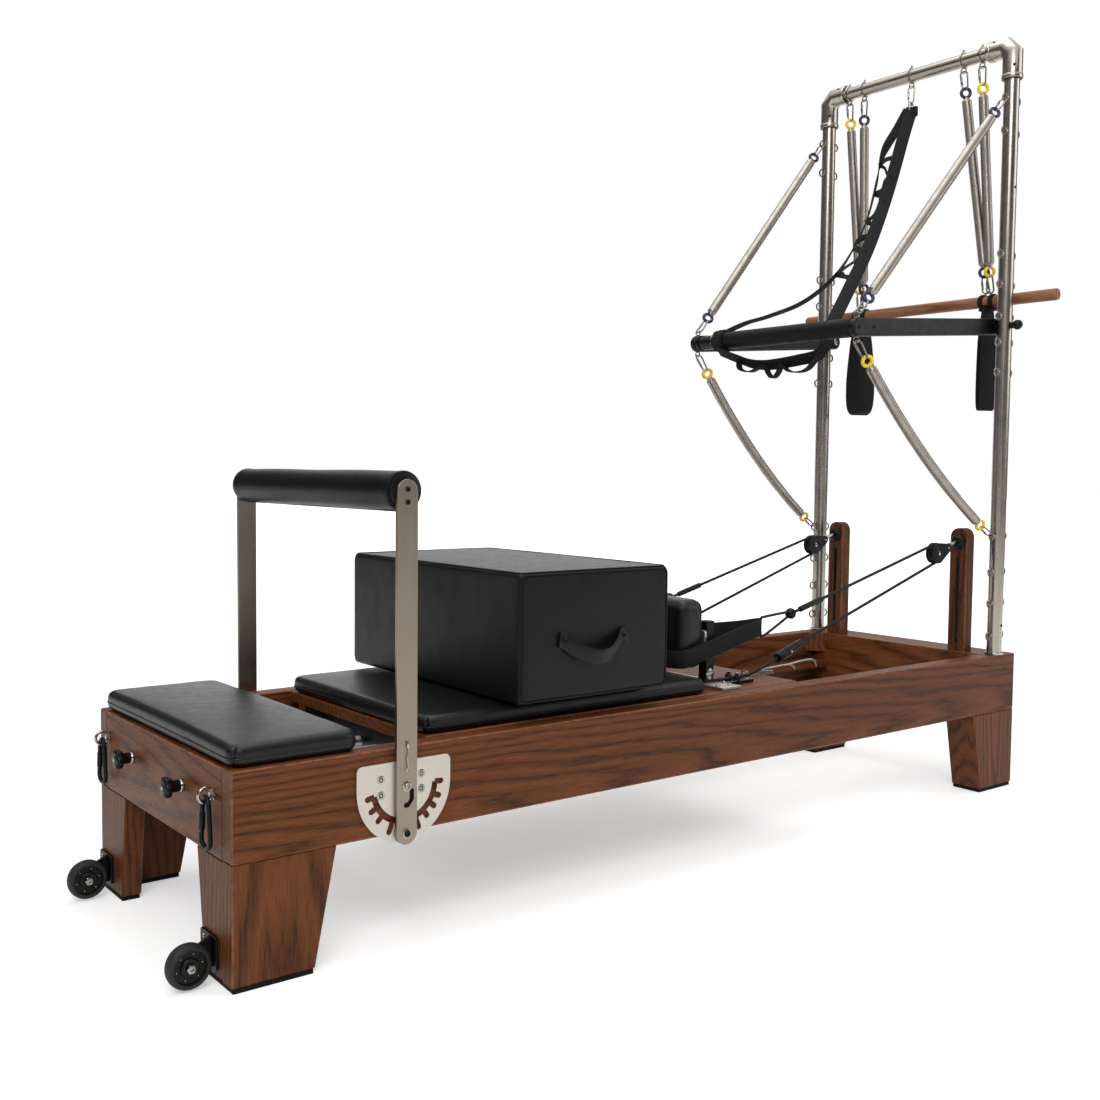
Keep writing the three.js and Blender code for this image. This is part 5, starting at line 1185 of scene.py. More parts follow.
for label, side in SIDES:
    handle = Piece("box_strap_handle_" + label)
    wall = 337 + 4 + 0.3
    face = wall + 2
    points, facing = [], []
    for i in range(41):
        share = 2 * i / 40 - 1
        drop = 1 - share ** 2
        points.append((794 + share * 80, side * (face + 2 + 27 * drop ** 1.3), 555 - 36 * drop))
        facing.append((0, side * 0.25 * math.sin(math.pi * i / 40), 1))
    start = [(794 - 92, side * (face + 2), 556.5)]
    stop = [(794 + 92, side * (face + 2), 556.5)]
    path = np.array(start + points + stop)
    facing = np.array([facing[0]] + facing + [facing[-1]])
    sweep(handle, path, strip(32, 4.4, 3), "strap", up=facing)
    stitch_rows(handle, path, facing, 13, 2.0, 5.5, 3.4, 0.5)
    for x in (714, 874):
        lathe(handle, [(9.5, 0), (9.5, 0.9), (8.8, 1.5), (0, 1.5)], (x, side * (face + 3.9), 555), (0, side, 0),
              "black_metal", 28)
        button(handle, 5.4, (x, side * (face + 5.2), 555), (0, side, 0), "black_metal", 3.4)
        rod(handle, 5, (x, side * (wall - 1), 555), (x, side * (face + 5), 555), "black_metal", 16)
    handle.make("box", ["box_handle_" + label], "leather_strap", sharp=50)

# Carriage fittings

for label, side in SIDES:
    rest = Piece("shoulder_rest_cover_" + label)
    low = (1173, min(side * 67, side * 217), 430)
    high = (1249, max(side * 67, side * 217), 595)
    cushion(rest, low, high, 24, 3, 0, "pad", 8, wrinkle=0.5, fold=0.8, seed=2.2 + side)
    centre = np.array([(low[1] + high[1]) / 2, 512.6])
    ring = rounded(rect((low[1] + 6.2, 436.2), (high[1] - 6.2, 589.2)), 20, 8)
    grown = centre + (np.array(along(ring, 8)) - centre) * (1.022, 1.02)
    for x in (1173 + 9, 1249 - 9):
        sweep(rest, np.insert(grown, 0, x, axis=1), circle(1.4, 8), "pad", closed=True)
    rest.make("carriage", ["shoulder_rest_" + label], "upholstery", weld=True, sharp=70)

CARRIAGE_END = 1500
BAILS = ([(-49, 5), (-30, 10), (-2, 14), (60, 17), (96, 17), (116, 12), (122, 3)],
         [(90, 17), (140, 22), (184, 23), (202, 16), (208, 3)])
bar = Piece("shoulder_rest_bar")
box(bar, (1239.3, -288.4, 386.3), (1301.3, 288.4, 394.2), "plate", 1.0)
for side in (NEAR, FAR):
    outer = side * 217
    box(bar, (1255.5, outer, 394), (1280.5, outer - side * 25, 543), "black_metal", 2.2)
    tongue = rounded(rect((outer, 452), (outer - side * 128, 521)), 6)
    prism(bar, tongue, [], 1249.4, 1255.4, 0,
          "plate", 0.8)
    for z in (470, 503):
        button(bar, 5.5, (1255.5, outer - side * 60, z), (1, 0, 0), "chrome", 3)
        button(bar, 5.5, (1255.5, outer - side * 100, z), (1, 0, 0), "chrome", 3)
    lathe(bar, [(13, 0), (13, 1.5), (12, 2.2), (0, 2.2)], (1268, outer, 415), (0, side, 0), "chrome", 32)
    for x in (1250, 1290):
        button(bar, 6, (x, side * 262, 394.2), (0, 0, 1), "chrome", 3.2)
        button(bar, 6, (x, side * 150, 394.2), (0, 0, 1), "chrome", 3.2)
    y = side * 221
    box(bar, (1290, y - 20, 386.5), (1396, y + 20, 394.3), "black_plastic", 1.6)
    box(bar, (1292, y - 20.6, 393.9), (1394, y - 16.6, 395.4), "chrome", 0.4)
    for hand in (-1, 1):
        at = (1343, y + hand * 14, 394.3)
        teeth = lambda angle, r: r * (1 + 0.05 * math.cos(12 * angle)) if r > 6 else r
        lathe(bar, [(8.4, 0), (8.4, 11), (7.4, 12.4), (4.6, 12.8), (4.6, 17.2), (0, 17.8)], at, (0, 0, 1),
              "black_plastic", 48, lobes=teeth)
        lathe(bar, [(3.4, 0), (3.4, 1.2), (2.2, 2.0), (0, 2.0)], (at[0], at[1], at[2] + 17.6), (0, 0, 1), "chrome", 20)
        button(bar, 4.6, (1302, y + hand * 10, 394.3), (0, 0, 1), "chrome", 2.6)
        button(bar, 4.6, (1384, y + hand * 10, 394.3), (0, 0, 1), "chrome", 2.6)
    staple = [(1386, y + dy, z) for dy, z in ((-9, 397), (-9, 409), (0, 412), (9, 409), (9, 397))]
    sweep(bar, catmull(staple, 24), circle(1.6, 8), "chrome")
    guide = [(1386, 386.5), (1541, 386.5), (1535, 394), (1470, 400), (1437, 392), (1386, 392)]
    prism(bar, rounded(guide, [0, 2, 3, 12, 12, 2], 6), [], side * 178.2, side * 181.8, 1, "plate", 0.8)
    box(bar, (1386, min(side * 221, side * 182), 386.5), (1396, max(side * 221, side * 182), 394.2), "plate", 0.8)
    for bail in BAILS:
        ring = catmull([(CARRIAGE_END + x, side * 180, RAIL_TOP + z) for x, z in bail], 36)
        sweep(bar, ring, circle(2.4, 10), "chrome")
bar.make("carriage", ["carriage_head_bar"], "satin_steel")

for end, x in (("front", 527), ("rear", 1367)):
    axle = Piece("rolling_axle_" + end)
    rod(axle, 5, (x, -296.4, 321.3), (x, 296.4, 321.3), "chrome", 24, soft=0.6)
    for side in (NEAR, FAR):
        y = side * 290
        lathe(axle, both_ways([(21, 4.4), (20.4, 6.0), (17.4, 6.4), (16.4, 5), (14, 5), (13, 6.4), (5, 6.4)]),
              (x, y, 321.3), (0, 1, 0), "black_plastic", 48, closed=True)
        lathe(axle, [(9, 0), (9, 1.2), (5, 1.6), (0, 1.6)], (x, y - side * 6.4, 321.3), (0, -side, 0), "chrome", 24)
    axle.make("wheelset_" + end, ["carriage_wheelset_" + end], "black_plastic")

# Tower

POST_X, POST_Y = 2317, 319
TUBE_Z, HANGER_Z = 2089, 2060.5
EYELET_Z = [RAIL_TOP + share * (TUBE_Z - RAIL_TOP) for share in (
    0.0317, 0.0863, 0.1386, 0.1985, 0.4703, 0.5197, 0.5619, 0.6142, 0.6635, 0.862, 0.9149)]

for label, side in SIDES:
    y = side * POST_Y
    post = Piece("tower_upright_" + label)
    lathe(post, [(18.5, 386.4), (21, 386.4), (21, 2061), (18.5, 2061)], (POST_X, y, 0), (0, 0, 1), "steel_z", 56)
    rod(post, 12, (POST_X, y, 277), (POST_X, y, 392), "chrome", 24)
    lathe(post, [(21, 386.4), (25.5, 386.4), (25.5, 391.5), (24.6, 392.4), (21, 392.4)], (POST_X, y, 0), (0, 0, 1),
          "chrome", 56)
    for z in EYELET_Z:
        for hand in (-1, 1):
            lathe(post, [(0, 0), (5.4, 0.0), (5.4, 1.6), (4.4, 2.4), (2.6, 2.6), (2.2, 4.0), (0, 4.0)],
                  (POST_X + hand * 20.6, y, z), (hand, 0, 0), "chrome", 20)
            torus(post, 10.6, 2.6, (POST_X + hand * 31.7, y, z), (0, 1, 0), "snap", 32, 8)
    for z in (470, 1700):
        button(post, 4.2, (POST_X, y + side * 20.8, z), (0, side, 0), "black_metal", 2.2)
    post.make("bench", ["tower_post_" + label], "satin_steel")

top = Piece("top_rail")
rod(top, 19, (POST_X, -262, TUBE_Z), (POST_X, 262, TUBE_Z), "steel_y", 56)
for side in (NEAR, FAR):
    y = side * POST_Y
    elbow = [(POST_X, y, 2004), (POST_X, y, 2068), (POST_X, y - side * 21, TUBE_Z), (POST_X, side * 250, TUBE_Z)]
    mitred(top, elbow, 27, "steel_z", 48)
    lathe(top, both_ways([(29, 5.2), (28.4, 6), (27, 6)]), (POST_X, y, 2005), (0, 0, 1), "steel_x", 56)
    lathe(top, [(21.2, -7), (27, -7), (27, -6), (21.2, -6)], (POST_X, y, 2005), (0, 0, 1), "black_plastic", 48,
          closed=True)
    lathe(top, both_ways([(29, 5.2), (28.4, 6), (19.2, 6)]), (POST_X, side * 255, TUBE_Z), (0, 1, 0), "steel_x", 56)
    button(top, 4.4, (POST_X - 20, y - 17.5, 2032), (-0.74, -0.66, 0), "black_metal", 2.0)
    button(top, 4.4, (POST_X - 18.5, side * 272, 2108), (-0.7, 0, 0.72), "black_metal", 2.0)

# Five wire hangers, each with its twisted end and a ring below
for y in (240, 184, 12, -164, -224):
    hanger = [(POST_X + 21.4 * math.cos(a), y, TUBE_Z + 21.4 * math.sin(a))
              for a in np.radians(np.linspace(96, 444, 48))]
    sweep(top, hanger, circle(2.4, 8), "chrome", up=np.tile((0.0, 1.0, 0.0), (48, 1)))
    lathe(top, both_ways([(20.6, 4.5), (19.2, 4.5)]), (POST_X, y, TUBE_Z), (0, 1, 0), "chrome", 40, closed=True)
    for phase in (0, math.pi):
        turns = [(phase + k * 0.55, TUBE_Z + 20 + k * 0.44) for k in range(25)]
        twist = [(POST_X + 2.0 * math.cos(a), y + 2.0 * math.sin(a), z) for a, z in turns]
        sweep(top, twist, circle(1.5, 6), "chrome")
    torus(top, 8, 1.8, (POST_X, y, HANGER_Z), (1, 0, 0), "chrome", 28, 8)
top.make("bench", ["tower_top_tube"], "satin_steel")

# Pulleys on their risers
PULLEY = np.array([2164.0, 675.0])
BOSS_X, BOSS_Z = 2262.0, 704
for label, side in SIDES:
    y = side * RISER_Y
    away = np.array([BOSS_X - PULLEY[0], BOSS_Z - PULLEY[1]])
    reach = np.linalg.norm(away)
    away /= reach
    tilt = math.atan2(away[1], away[0])
    lean = math.asin((29 - 12) / 50)
    local = arc((0, 0), 29, 90 - math.degrees(lean), 270 + math.degrees(lean), 30)
    local += arc((50, 0), 12, -90 + math.degrees(lean), 90 - math.degrees(lean), 12)
    turn = np.array([[math.cos(tilt), -math.sin(tilt)], [math.sin(tilt), math.cos(tilt)]])
    shape = [tuple(PULLEY + turn @ np.array(p)) for p in local]
    at = lambda d, aside: (PULLEY[0] + away[0] * d, y + aside, PULLEY[1] + away[1] * d)
    block = Piece("pulley_housing_" + label)
    for hand in (-1, 1):
        prism(block, shape, [], y + hand * 8.6, y + hand * 12.4, 1, "black_plastic", 1.1)
        lathe(block, [(20, 0), (20, 0.4), (19, 1.0), (11, 1.2), (10, 0.6), (0, 0.6)], at(0, hand * 12.2), (0, hand, 0),
              "black_plastic", 48)
        hex_head(block, 6.4, at(0, hand * 12.8), (0, hand, 0), "chrome", 3.0)
        dome(block, 3.6, at(50, hand * 12.4), (0, hand, 0), "chrome", 2.0)
    rod(block, 12, at(50, -8.6), at(50, 8.6), "black_plastic", 32)
    rod(block, 5, at(50, 0), at(reach + 6, 0), "chrome", 24)
    torus(block, 7.4, 2.4, at(66, 0), (0, 1, 0), "chrome", 28, 10)
    rod(block, 5, at(0, -14.5), at(0, 14.5), "chrome", 24)
    lathe(block, [(0, 0), (13.4, 0), (15, 1.2), (16, 4), (20.6, 6.4), (22, 8.2), (22, 13.2), (21.2, 14), (0, 14)],
          (BOSS_X, y, BOSS_Z), (1, 0, 0), "black_plastic", 56)
    rod(block, 6, (BOSS_X + 6, y, BOSS_Z), (2318, y, BOSS_Z), "chrome", 20)
    knob = lambda angle, r: r * (1 - 0.07 * (1 - math.cos(5 * angle)) / 2) if r > 9 else r
    lathe(block, [(0, 0), (13.6, 0), (14, 0.8), (14, 9), (12.6, 12.6), (9, 15), (0, 16)],
          (2312.6, y, BOSS_Z), (1, 0, 0), "black_plastic", 60, lobes=knob)
    block.make("bench", ["pulley_block_" + label], "black_plastic")
    wheel = Piece("pulley_wheel_" + label)
    lathe(wheel, both_ways([(21.9, 0), (22.6, 3.2), (26.2, 5.0), (27, 6.2), (26.4, 6.8), (21, 6.4), (19, 4.6), (9, 5.2),
                            (8, 6.6), (5.4, 6.6)]),
          (PULLEY[0], y, PULLEY[1]), (0, 1, 0), "black_plastic", 64, closed=True)
    wheel.make("sheave_" + label, ["pulley_sheave_" + label], "black_plastic")

# Ropes, their locks and the loops on the rests

GROOVE = 26.0


def touch(point, hand):
    """The angle on the sheave at which a straight run from a point touches it."""
    away = np.array(point, float) - PULLEY
    return math.atan2(away[1], away[0]) + hand * math.acos(GROOVE / np.linalg.norm(away))


LOCK = [(1505.0, 433.0), (1599.0, 468.0)]
SLEEVE = [(1670.0, 573.0), (1585.0, 551.0)]
BALL = (1551.0, 543.0)
RING_START = (1444.0, 520.0)
FIRST, LAST = touch(LOCK[1], 1), touch(SLEEVE[0], -1) + 2 * math.pi
CLEAT = [(1292.0, 399.0), (1340.0, 399.0), (1396.0, 401.0), (1450.0, 415.0), LOCK[0]]
LOOP = [(1440, 222, 518), (1358, 229, 502), (1280, 231, 484), (1190, 228, 463), (1163, 205, 457), (1161, 140, 456),
        (1163, 78, 457), (1190, 55, 463), (1262, 58, 480), (1340, 110, 498), (1400, 180, 510)]


def on_sheave(angle):
    """The rope's middle where it lies in the sheave's groove."""
    return PULLEY + GROOVE * np.array([math.cos(angle), math.sin(angle)])


for label, side in SIDES:
    y = side * RISER_Y
    lift = lambda route: np.array([(x, y, z) for x, z in route])
    lead = catmull(lift(CLEAT), 60)
    split = int(np.searchsorted(lead[:, 0], CLEAT[3][0]))
    held = Piece("rope_held_part_" + label)
    cord(held, lead[:split + 1])
    cord(held, catmull([(1292, y, 399), (1278, y + 3, 398), (1262, y + 8, 400), (1255.5, y + 9, 399.2)], 16))
    held.make("carriage", [], "black_plastic")

    # Cord lock and lower run; triangle ring, ball, sleeve and upper run
    lower, upper = Piece("rope_run_lower_" + label), Piece("rope_run_upper_" + label)
    cord(lower, lead[split:])
    a, b = lift(LOCK)
    t = b - a
    lathe(lower, [(5, 0), (12.4, 0), (13, 1.5), (12.2, 26), (11.4, 30), (12.6, 34), (12.4, 44), (10.4, 50), (10.8, 64),
                  (9.6, 90), (8.4, 99), (4, 100)], a, t, "black_plastic", 36)
    rod(lower, 3.4, a + t * 0.42 + (0, -14, 0), a + t * 0.42 + (0, 14, 0), "chrome", 14, soft=0.6)
    a, b = lift(SLEEVE)
    lathe(upper, [(4, 0), (7.0, 0), (7.5, 1.0), (7.5, 84), (7.0, 86.5), (6.4, 87.8), (4, 88)], a, b - a,
          "black_plastic", 28)
    cord(upper, catmull([a, b, (BALL[0] + 12, y, BALL[1] + 3)], 12))
    ball(upper, 14, (BALL[0], y, BALL[1]), "black_plastic", 32)
    torus(upper, 13.6, 0.8, (BALL[0], y, BALL[1]), b - a, "black_plastic", 40, 6)
    ring = np.array([(BALL[0] - 6, y, BALL[1] - 1), (BALL[0] - 14, y, BALL[1] + 4), (1452, y, 541), (1441, y, 538),
                     (1439, y, 518), (1441, y, 497), (1452, y, 494), (BALL[0] - 14, y, BALL[1] - 9)])
    sweep(upper, catmull(ring, 72, closed=True), circle(3.5, 10), "black_metal", closed=True)
    for run, (x, z), near_end, wheel_end in ((lower, CLEAT[3], LOCK[1], on_sheave(FIRST)),
                                             (upper, RING_START, SLEEVE[0], on_sheave(LAST))):
        a, b = np.array(near_end, float), np.array(wheel_end, float)
        a += 6 * (a - b) / np.linalg.norm(b - a)
        cord(run, lift([a + (b - a) * k / 90 for k in range(91)]))
        run.make(None, [], "rope", blend=("carriage", "bench", spot(x, y, z), spot(b[0], y, b[1])))
    turn = Piece("rope_turn_" + label)
    cord(turn, lift([on_sheave(angle) for angle in np.linspace(FIRST, LAST, 40)]))
    turn.make("bench", [], "rope")

    end = Piece("rope_handle_end_" + label)
    loop = catmull([(x, side * q, z) for x, q, z in LOOP], 140, closed=True)
    upright = np.tile((0.0, 0.0, 1.0), (140, 1))
    sweep(end, loop, strip(42, 4, 3), "web", up=upright, closed=True)
    stitch_rows(end, loop, upright, 17, 2.0, 6.0, 4.0, 0.55, closed=True, part=slice(4, 44))
    end.make("carriage", ["rope_" + label], "webbing")

# Push-through bar

BAR_X, BAR_Z, BAR_PIVOT = 1707, 1270, 1318
BAR_EYE = 31.2
ptb = Piece("push_through_bar_body")
slope = math.atan2(48, 610)
length = math.hypot(610, 48)
turn = np.array([[math.cos(slope), -math.sin(slope)], [math.sin(slope), math.cos(slope)]])
stadium = [tuple(np.array([POST_X, BAR_PIVOT]) + turn @ np.array(p)) for p in
           arc((0, 0), 23.5, -90, 90, 20) + arc((-length, 0), 23.5, 90, 270, 20)]
for side in (NEAR, FAR):
    prism(ptb, stadium, [], side * 272, side * 292, 1, "black_metal", 5.5, 4)
    at = lambda d, out: (POST_X - d * math.cos(slope), side * out, BAR_PIVOT - d * math.sin(slope))
    lathe(ptb, [(0, 0), (17.4, 0), (19, 1.6), (20, 3.4), (20, 5.2), (0, 5.2)], at(0, 291.9), (0, side, 0),
          "black_plastic", 48)
    rod(ptb, 6, (POST_X, side * 270, BAR_PIVOT), (POST_X, side * 353, BAR_PIVOT), "chrome", 24)
    dome(ptb, 11, (POST_X, side * 272, BAR_PIVOT), (0, -side, 0), "chrome", 5, 32, 1.5)
    lathe(ptb, [(6, 0), (8.4, 0), (9, 0.8), (9, 9.5), (7.2, 12.4), (6, 12.4)], (POST_X, side * 340.4, BAR_PIVOT),
          (0, side, 0), "black_plastic", 32)
    ball(ptb, 14, (POST_X, side * 359.3, BAR_PIVOT), "black_plastic", 40)
    for d in (length, length - 60):
        button(ptb, 6.4, at(d, 291.6), (0, side, 0), "black_metal", 2.6)
    for hand in (-1, 1):
        z = BAR_Z + hand * BAR_EYE
        torus(ptb, 8, 1.8, (BAR_X, side * 282, z), (1, 0, 0), "chrome", 32, 8)
        lathe(ptb, [(0, 0), (5.0, 0), (5.0, 1.4), (3.6, 2.2), (2.2, 2.6), (2.0, 4), (0, 4)],
              (BAR_X, side * 282, BAR_Z + hand * 22.4), (0, 0, hand), "chrome", 20)
rod(ptb, 20, (BAR_X, -274, BAR_Z), (BAR_X, 274, BAR_Z), "black_metal", 56)
quarter = [math.pi / 2 * k / 4 for k in range(5)]
foam = [(20, -273)] + [(24.5 - 2.4 * (1 - math.sin(a)), -271 + 2.4 * k / 4) for k, a in enumerate(quarter)]
foam += [(24.5 + 0.15 * math.sin(9 * s), -264 + 465 * s / 30) for s in range(31)]
foam += [(24.5 - 2.4 * (1 - math.cos(a)), 202.6 + 2.4 * k / 4) for k, a in enumerate(quarter)] + [(20, 205)]
lathe(ptb, foam, (BAR_X, 0, BAR_Z), (0, 1, 0), "foam", 56)
torus(ptb, 20.6, 1.1, (BAR_X, 212, BAR_Z), (0, 1, 0), "chrome", 48, 8)
lathe(ptb, [(20, 0), (22.6, 0), (22.6, 7), (22, 8), (20, 8)], (BAR_X, 262, BAR_Z), (0, 1, 0), "black_plastic", 48)
ptb.make("push_bar", ["push_through_bar"], "black_coated_steel", sharp=35)

# Roll-down bar and its foot loops

DOWEL_X, DOWEL_Z = 2380, 1400
LOOP_TWIST = 22
DOWEL_EYE = DOWEL_Z + 16.5 + 8 * 0.7
dowel = Piece("roll_down_bar_body")
quarter = [math.pi / 2 * k / 6 for k in range(7)]
stations = [(0, -440)] + [(16.5 - 3.4 * (1 - math.sin(a)), -440 + 3.4 * (1 - math.cos(a))) for a in quarter]
stations += [(16.5 + 0.1 * math.sin(3.3 * k), -436 + 872 * k / 40) for k in range(1, 40)]
stations += [(16.5 - 3.4 * (1 - math.cos(a)), 440 - 3.4 * (1 - math.sin(a))) for a in quarter] + [(0, 440)]
lathe(dowel, stations, (DOWEL_X, 0, DOWEL_Z), (0, 1, 0), "dowel", 64)
for y in (222, -226):
    torus(dowel, 8, 1.8, (DOWEL_X, y, DOWEL_EYE), (1, 0, 0), "chrome", 32, 8)
    lathe(dowel, [(0, 0), (5.6, 0), (5.6, 1.2), (4.4, 2.0), (0, 2.0)], (DOWEL_X, y, DOWEL_Z + 16), (0, 0, 1), "chrome",
          24)
dowel.make("roll_down_bar", ["roll_down_dowel"], "beech_red")

for label, y, half in (("near", -226, 9), ("far", 222, 41)):
    loop = Piece("foot_loop_webbing_" + label)
    inner, outer, rim = 17.1, 21.6, 7.0
    for hand in (-1, 1):
        lathe(loop, both_ways([(outer + 0.5, 0), (outer, rim - 1.4), (outer - 1.2, rim), (inner, rim)]),
              (DOWEL_X, y + hand * 16, DOWEL_Z), (0, 1, 0), "web", 48, closed=True)
        for edge in (-4.6, 4.6):
            ring = [(DOWEL_X + (outer + 0.1) * math.cos(a), y + hand * 16 + edge, DOWEL_Z + (outer + 0.1) * math.sin(a))
                    for a in np.linspace(0, 2 * math.pi, 48, endpoint=False)]
            stitches(loop, ring, 5.4, 3.4, 0.5, "thread", closed=True)
    top = DOWEL_Z - inner - 0.3
    box(loop, (DOWEL_X - 11, y - 23, top - 10), (DOWEL_X + 11, y + 23, top - 0.2), "web", 3.0)
    route = [(0.12 * half, 0.01, 0), (0.75 * half, 0.4, 0), (half, 0.7, 0), (0.78 * half, 0.93, 0), (0, 1, 0)]
    route += [(-out, down, 0) for out, down, _ in route[:-1][::-1]]
    path, up = [], []
    for out, down, _ in catmull(route, 120, closed=True):
        twist = math.radians(LOOP_TWIST) * min(1.0, max(0.0, down / 0.3))
        path.append((DOWEL_X + out * math.sin(twist), y + out * math.cos(twist), top - 5 - down * (312 - 16.5 - 5)))
        up.append((math.cos(twist), -math.sin(twist), 0))
    path, up = np.array(path), np.array(up)
    sweep(loop, path, strip(54, 5, 3), "web", up=up, closed=True)
    stitch_rows(loop, path, up, 23, 2.5, 6.0, 4.0, 0.55, closed=True)
    loop.make("foot_loop_" + label, ["foot_loop_" + label], "webbing")

# Springs

COIL_RADIUS, COIL_WIRE, NECK = 13.6, 1.5, 3.2


def chain(piece, a, b, end_a, end_b, ring, sag=0.0):
    """A close-wound spring with a coloured ring and a snap clip at each end, along a straight or sagging line."""
    a, b = np.asarray(a, float), np.asarray(b, float)
    length = np.linalg.norm(b - a)

    def place(d):
        share = d / length
        bow = 4 * share * (1 - share)
        return a + (b - a) * share + np.array([-12.0 * bow * (1 if sag else 0), 0.0, -sag * bow])

    ring_start = CLIP_LENGTH - 4
    ring_end = ring_start + 26
    for at in (lambda d: place(end_a + d), lambda d: place(length - end_b - d)):
        clip(piece, at(0), at(CLIP_LENGTH), (0, 1, 0), 20, 2.4, "snap")
        t = unit(at(ring_end) - at(ring_start))
        facing = np.array([0.62, 0.78, 0.0])
        torus(piece, 12.8, 4.7, (at(ring_start) + at(ring_end)) / 2, facing - facing.dot(t) * t, ring, 36, 12)
        sweep(piece, [at(ring_end - 3.4 + 6 * k / 8) for k in range(9)], circle(1.6, 6), "chrome")
    first, last = end_a + ring_end - 2, length - end_b - ring_end + 2
    stations = np.linspace(first, last, 160)
    body = COIL_RADIUS - COIL_WIRE
    from_end = np.minimum(stations - first, last - stations)
    radii = np.minimum(NECK + from_end * (body - NECK) / 13.0, body)
    coil(piece, [place(d) for d in stations], radii, 2 * COIL_WIRE + 0.12, COIL_WIRE, "spring")


def seat(radius, wire_radius):
    """How far from a ring's middle the clip hanging in it starts."""
    return radius * math.cos(math.pi / 6) - wire_radius - 2.4 - 0.3


RING_SEAT, EYELET_SEAT = seat(8, 1.8), seat(11, 1.8)
for label, side in SIDES:
    for part, hand, post_z, ring, sag in (("upper", 1, EYELET_Z[10], "navy", 0.0),
                                          ("lower", -1, EYELET_Z[3], "yellow", 34.0)):
        spring = Piece("arm_spring_%s_%s_coil" % (part, label))
        a = np.array((BAR_X, side * 282, BAR_Z + hand * BAR_EYE))
        b = np.array((POST_X - 31.7, side * POST_Y, post_z))
        chain(spring, a, b, RING_SEAT, EYELET_SEAT, ring, sag)
        ends = [spot(*(a + (b - a) * share)) for share in (0.02, 0.98)]
        spring.make(None, ["arm_spring_%s_%s" % (part, label)], "spring_steel", blend=("push_bar", "bench", *ends),
                    sharp=60)

for label, ys, y0, rings in (("near", (-164, -224), -226, ("navy", "yellow")),
                             ("far", (240, 184), 222, ("yellow", "navy"))):
    pair = Piece("roll_down_spring_pair_" + label)
    for y, ring, aside in zip(ys, rings, (6.5, -6.5)):
        chain(pair, (POST_X, y, HANGER_Z), (DOWEL_X, y0 + aside, DOWEL_EYE), RING_SEAT, RING_SEAT, ring)
    pair.make(None, ["roll_down_springs_" + label], "spring_steel", sharp=60,
              blend=("swing_springs", "roll_down_bar", spot(POST_X, y0, 2040), spot(DOWEL_X, y0, 1440)))

springs = Piece("carriage_spring_set")
box(springs, (422, -224.5, 320.8), (427, 224.5, 361.6), "black_metal", 0.8)
for y in (-138, -46, 46, 138):
    line = np.linspace((158, y, 333.1), (422.3, y, 333.1), 100)
    from_end = np.minimum(line[:, 0] - 158, 422.3 - line[:, 0])
    coil(springs, line, np.minimum(3 + from_end * 7.5 / 12, 10.5), 3.1, COIL_WIRE, "spring")
    torus(springs, 8, 2.5, (135, y, 333.1), (0, 0, 1), "chrome", 28, 10)
    rod(springs, 2.5, (143, y, 333.1), (160, y, 333.1), "chrome", 12)
springs.make(None, ["carriage_springs"], "spring_steel", sharp=60,
             blend=("bench", "carriage", spot(145, 0, 333), spot(421, 0, 333)))

# Strap of loops

def from_posts(points):
    """Points given by how far before the posts, how far aside and how high over the push-through bar they lie."""
    return np.array([(POST_X - back, aside, BAR_Z + up) for back, aside, up in points])


NARROW = [(0, 24, 722), (40, 30, 660), (95, 39, 576), (119, 45, 471), (150, 54, 366), (215, 72, 250),
          (282, 90, 177), (364, 113, 120), (461, 141, 80), (532, 165, 56), (595, 182, 28)]
WIDE = [(0, 8, 722), (50, -4, 640), (157, -28, 442), (287, -66, 268), (412, -98, 132), (517, -128, 26),
        (553, -140, -24), (579, -136, -58), (605, -96, -70), (613, -40, -76), (617, 14, -78), (623, 60, -72),
        (629, 100, -58), (633, 140, -44), (627, 182, -30)]
FESTOONS = [[(629, 100, -58), (629, 96, -84), (627, 62, -94), (623, 34, -86), (617, 14, -78)],
            [(617, 14, -78), (619, 0, -102), (617, -14, -114), (615, -30, -102), (613, -40, -76)],
            [(613, -40, -76), (611, -64, -98), (605, -100, -102), (595, -122, -90), (579, -136, -58)]]
strap = Piece("strap_of_loops")


def tape(path, width, thick, up, edge_rows=True):
    """A woven strap along a path, with a stitch row near each edge."""
    up = np.asarray(up, float)
    up = np.tile(up, (len(path), 1)) if up.ndim == 1 else up
    sweep(strap, path, strip(width, thick, 3), "web", up=up)
    if edge_rows:
        stitch_rows(strap, path, up, width / 2 - 3.2, thick / 2, 6.5, 4.2, 0.45)


narrow_path = catmull(from_posts(NARROW), 110)
EDGE_ON, FACE_ON = np.array([0.61, 0.79, 0.0]), np.array([0.79, -0.61, 0.0])
turned = np.interp(np.arange(110) / 109, (0, 0.1, 0.26, 0.42, 0.62, 1), (0, 0, 1, 0.9, 0.6, 0.55))[:, None]
tape(narrow_path, 26, 3, (1 - turned) * FACE_ON + turned * EDGE_ON)
wide_path = catmull(from_posts(WIDE), 190)
ease = np.clip((wide_path[:, 0] - (POST_X - 553)) / 40 + 0.5, 0, 1)[:, None]
wide_up = ease * FACE_ON + (1 - ease) * unit((1, 0, -1))
tape(wide_path, 36, 3, wide_up)
_, wide_across, _ = frames(wide_path, wide_up)


def strand_at(path, z):
    """The point of a falling strap at one height."""
    fall = path[:int(np.argmin(path[:, 2])) + 1][::-1]
    return at_reach(fall, fall[:, 2], z)


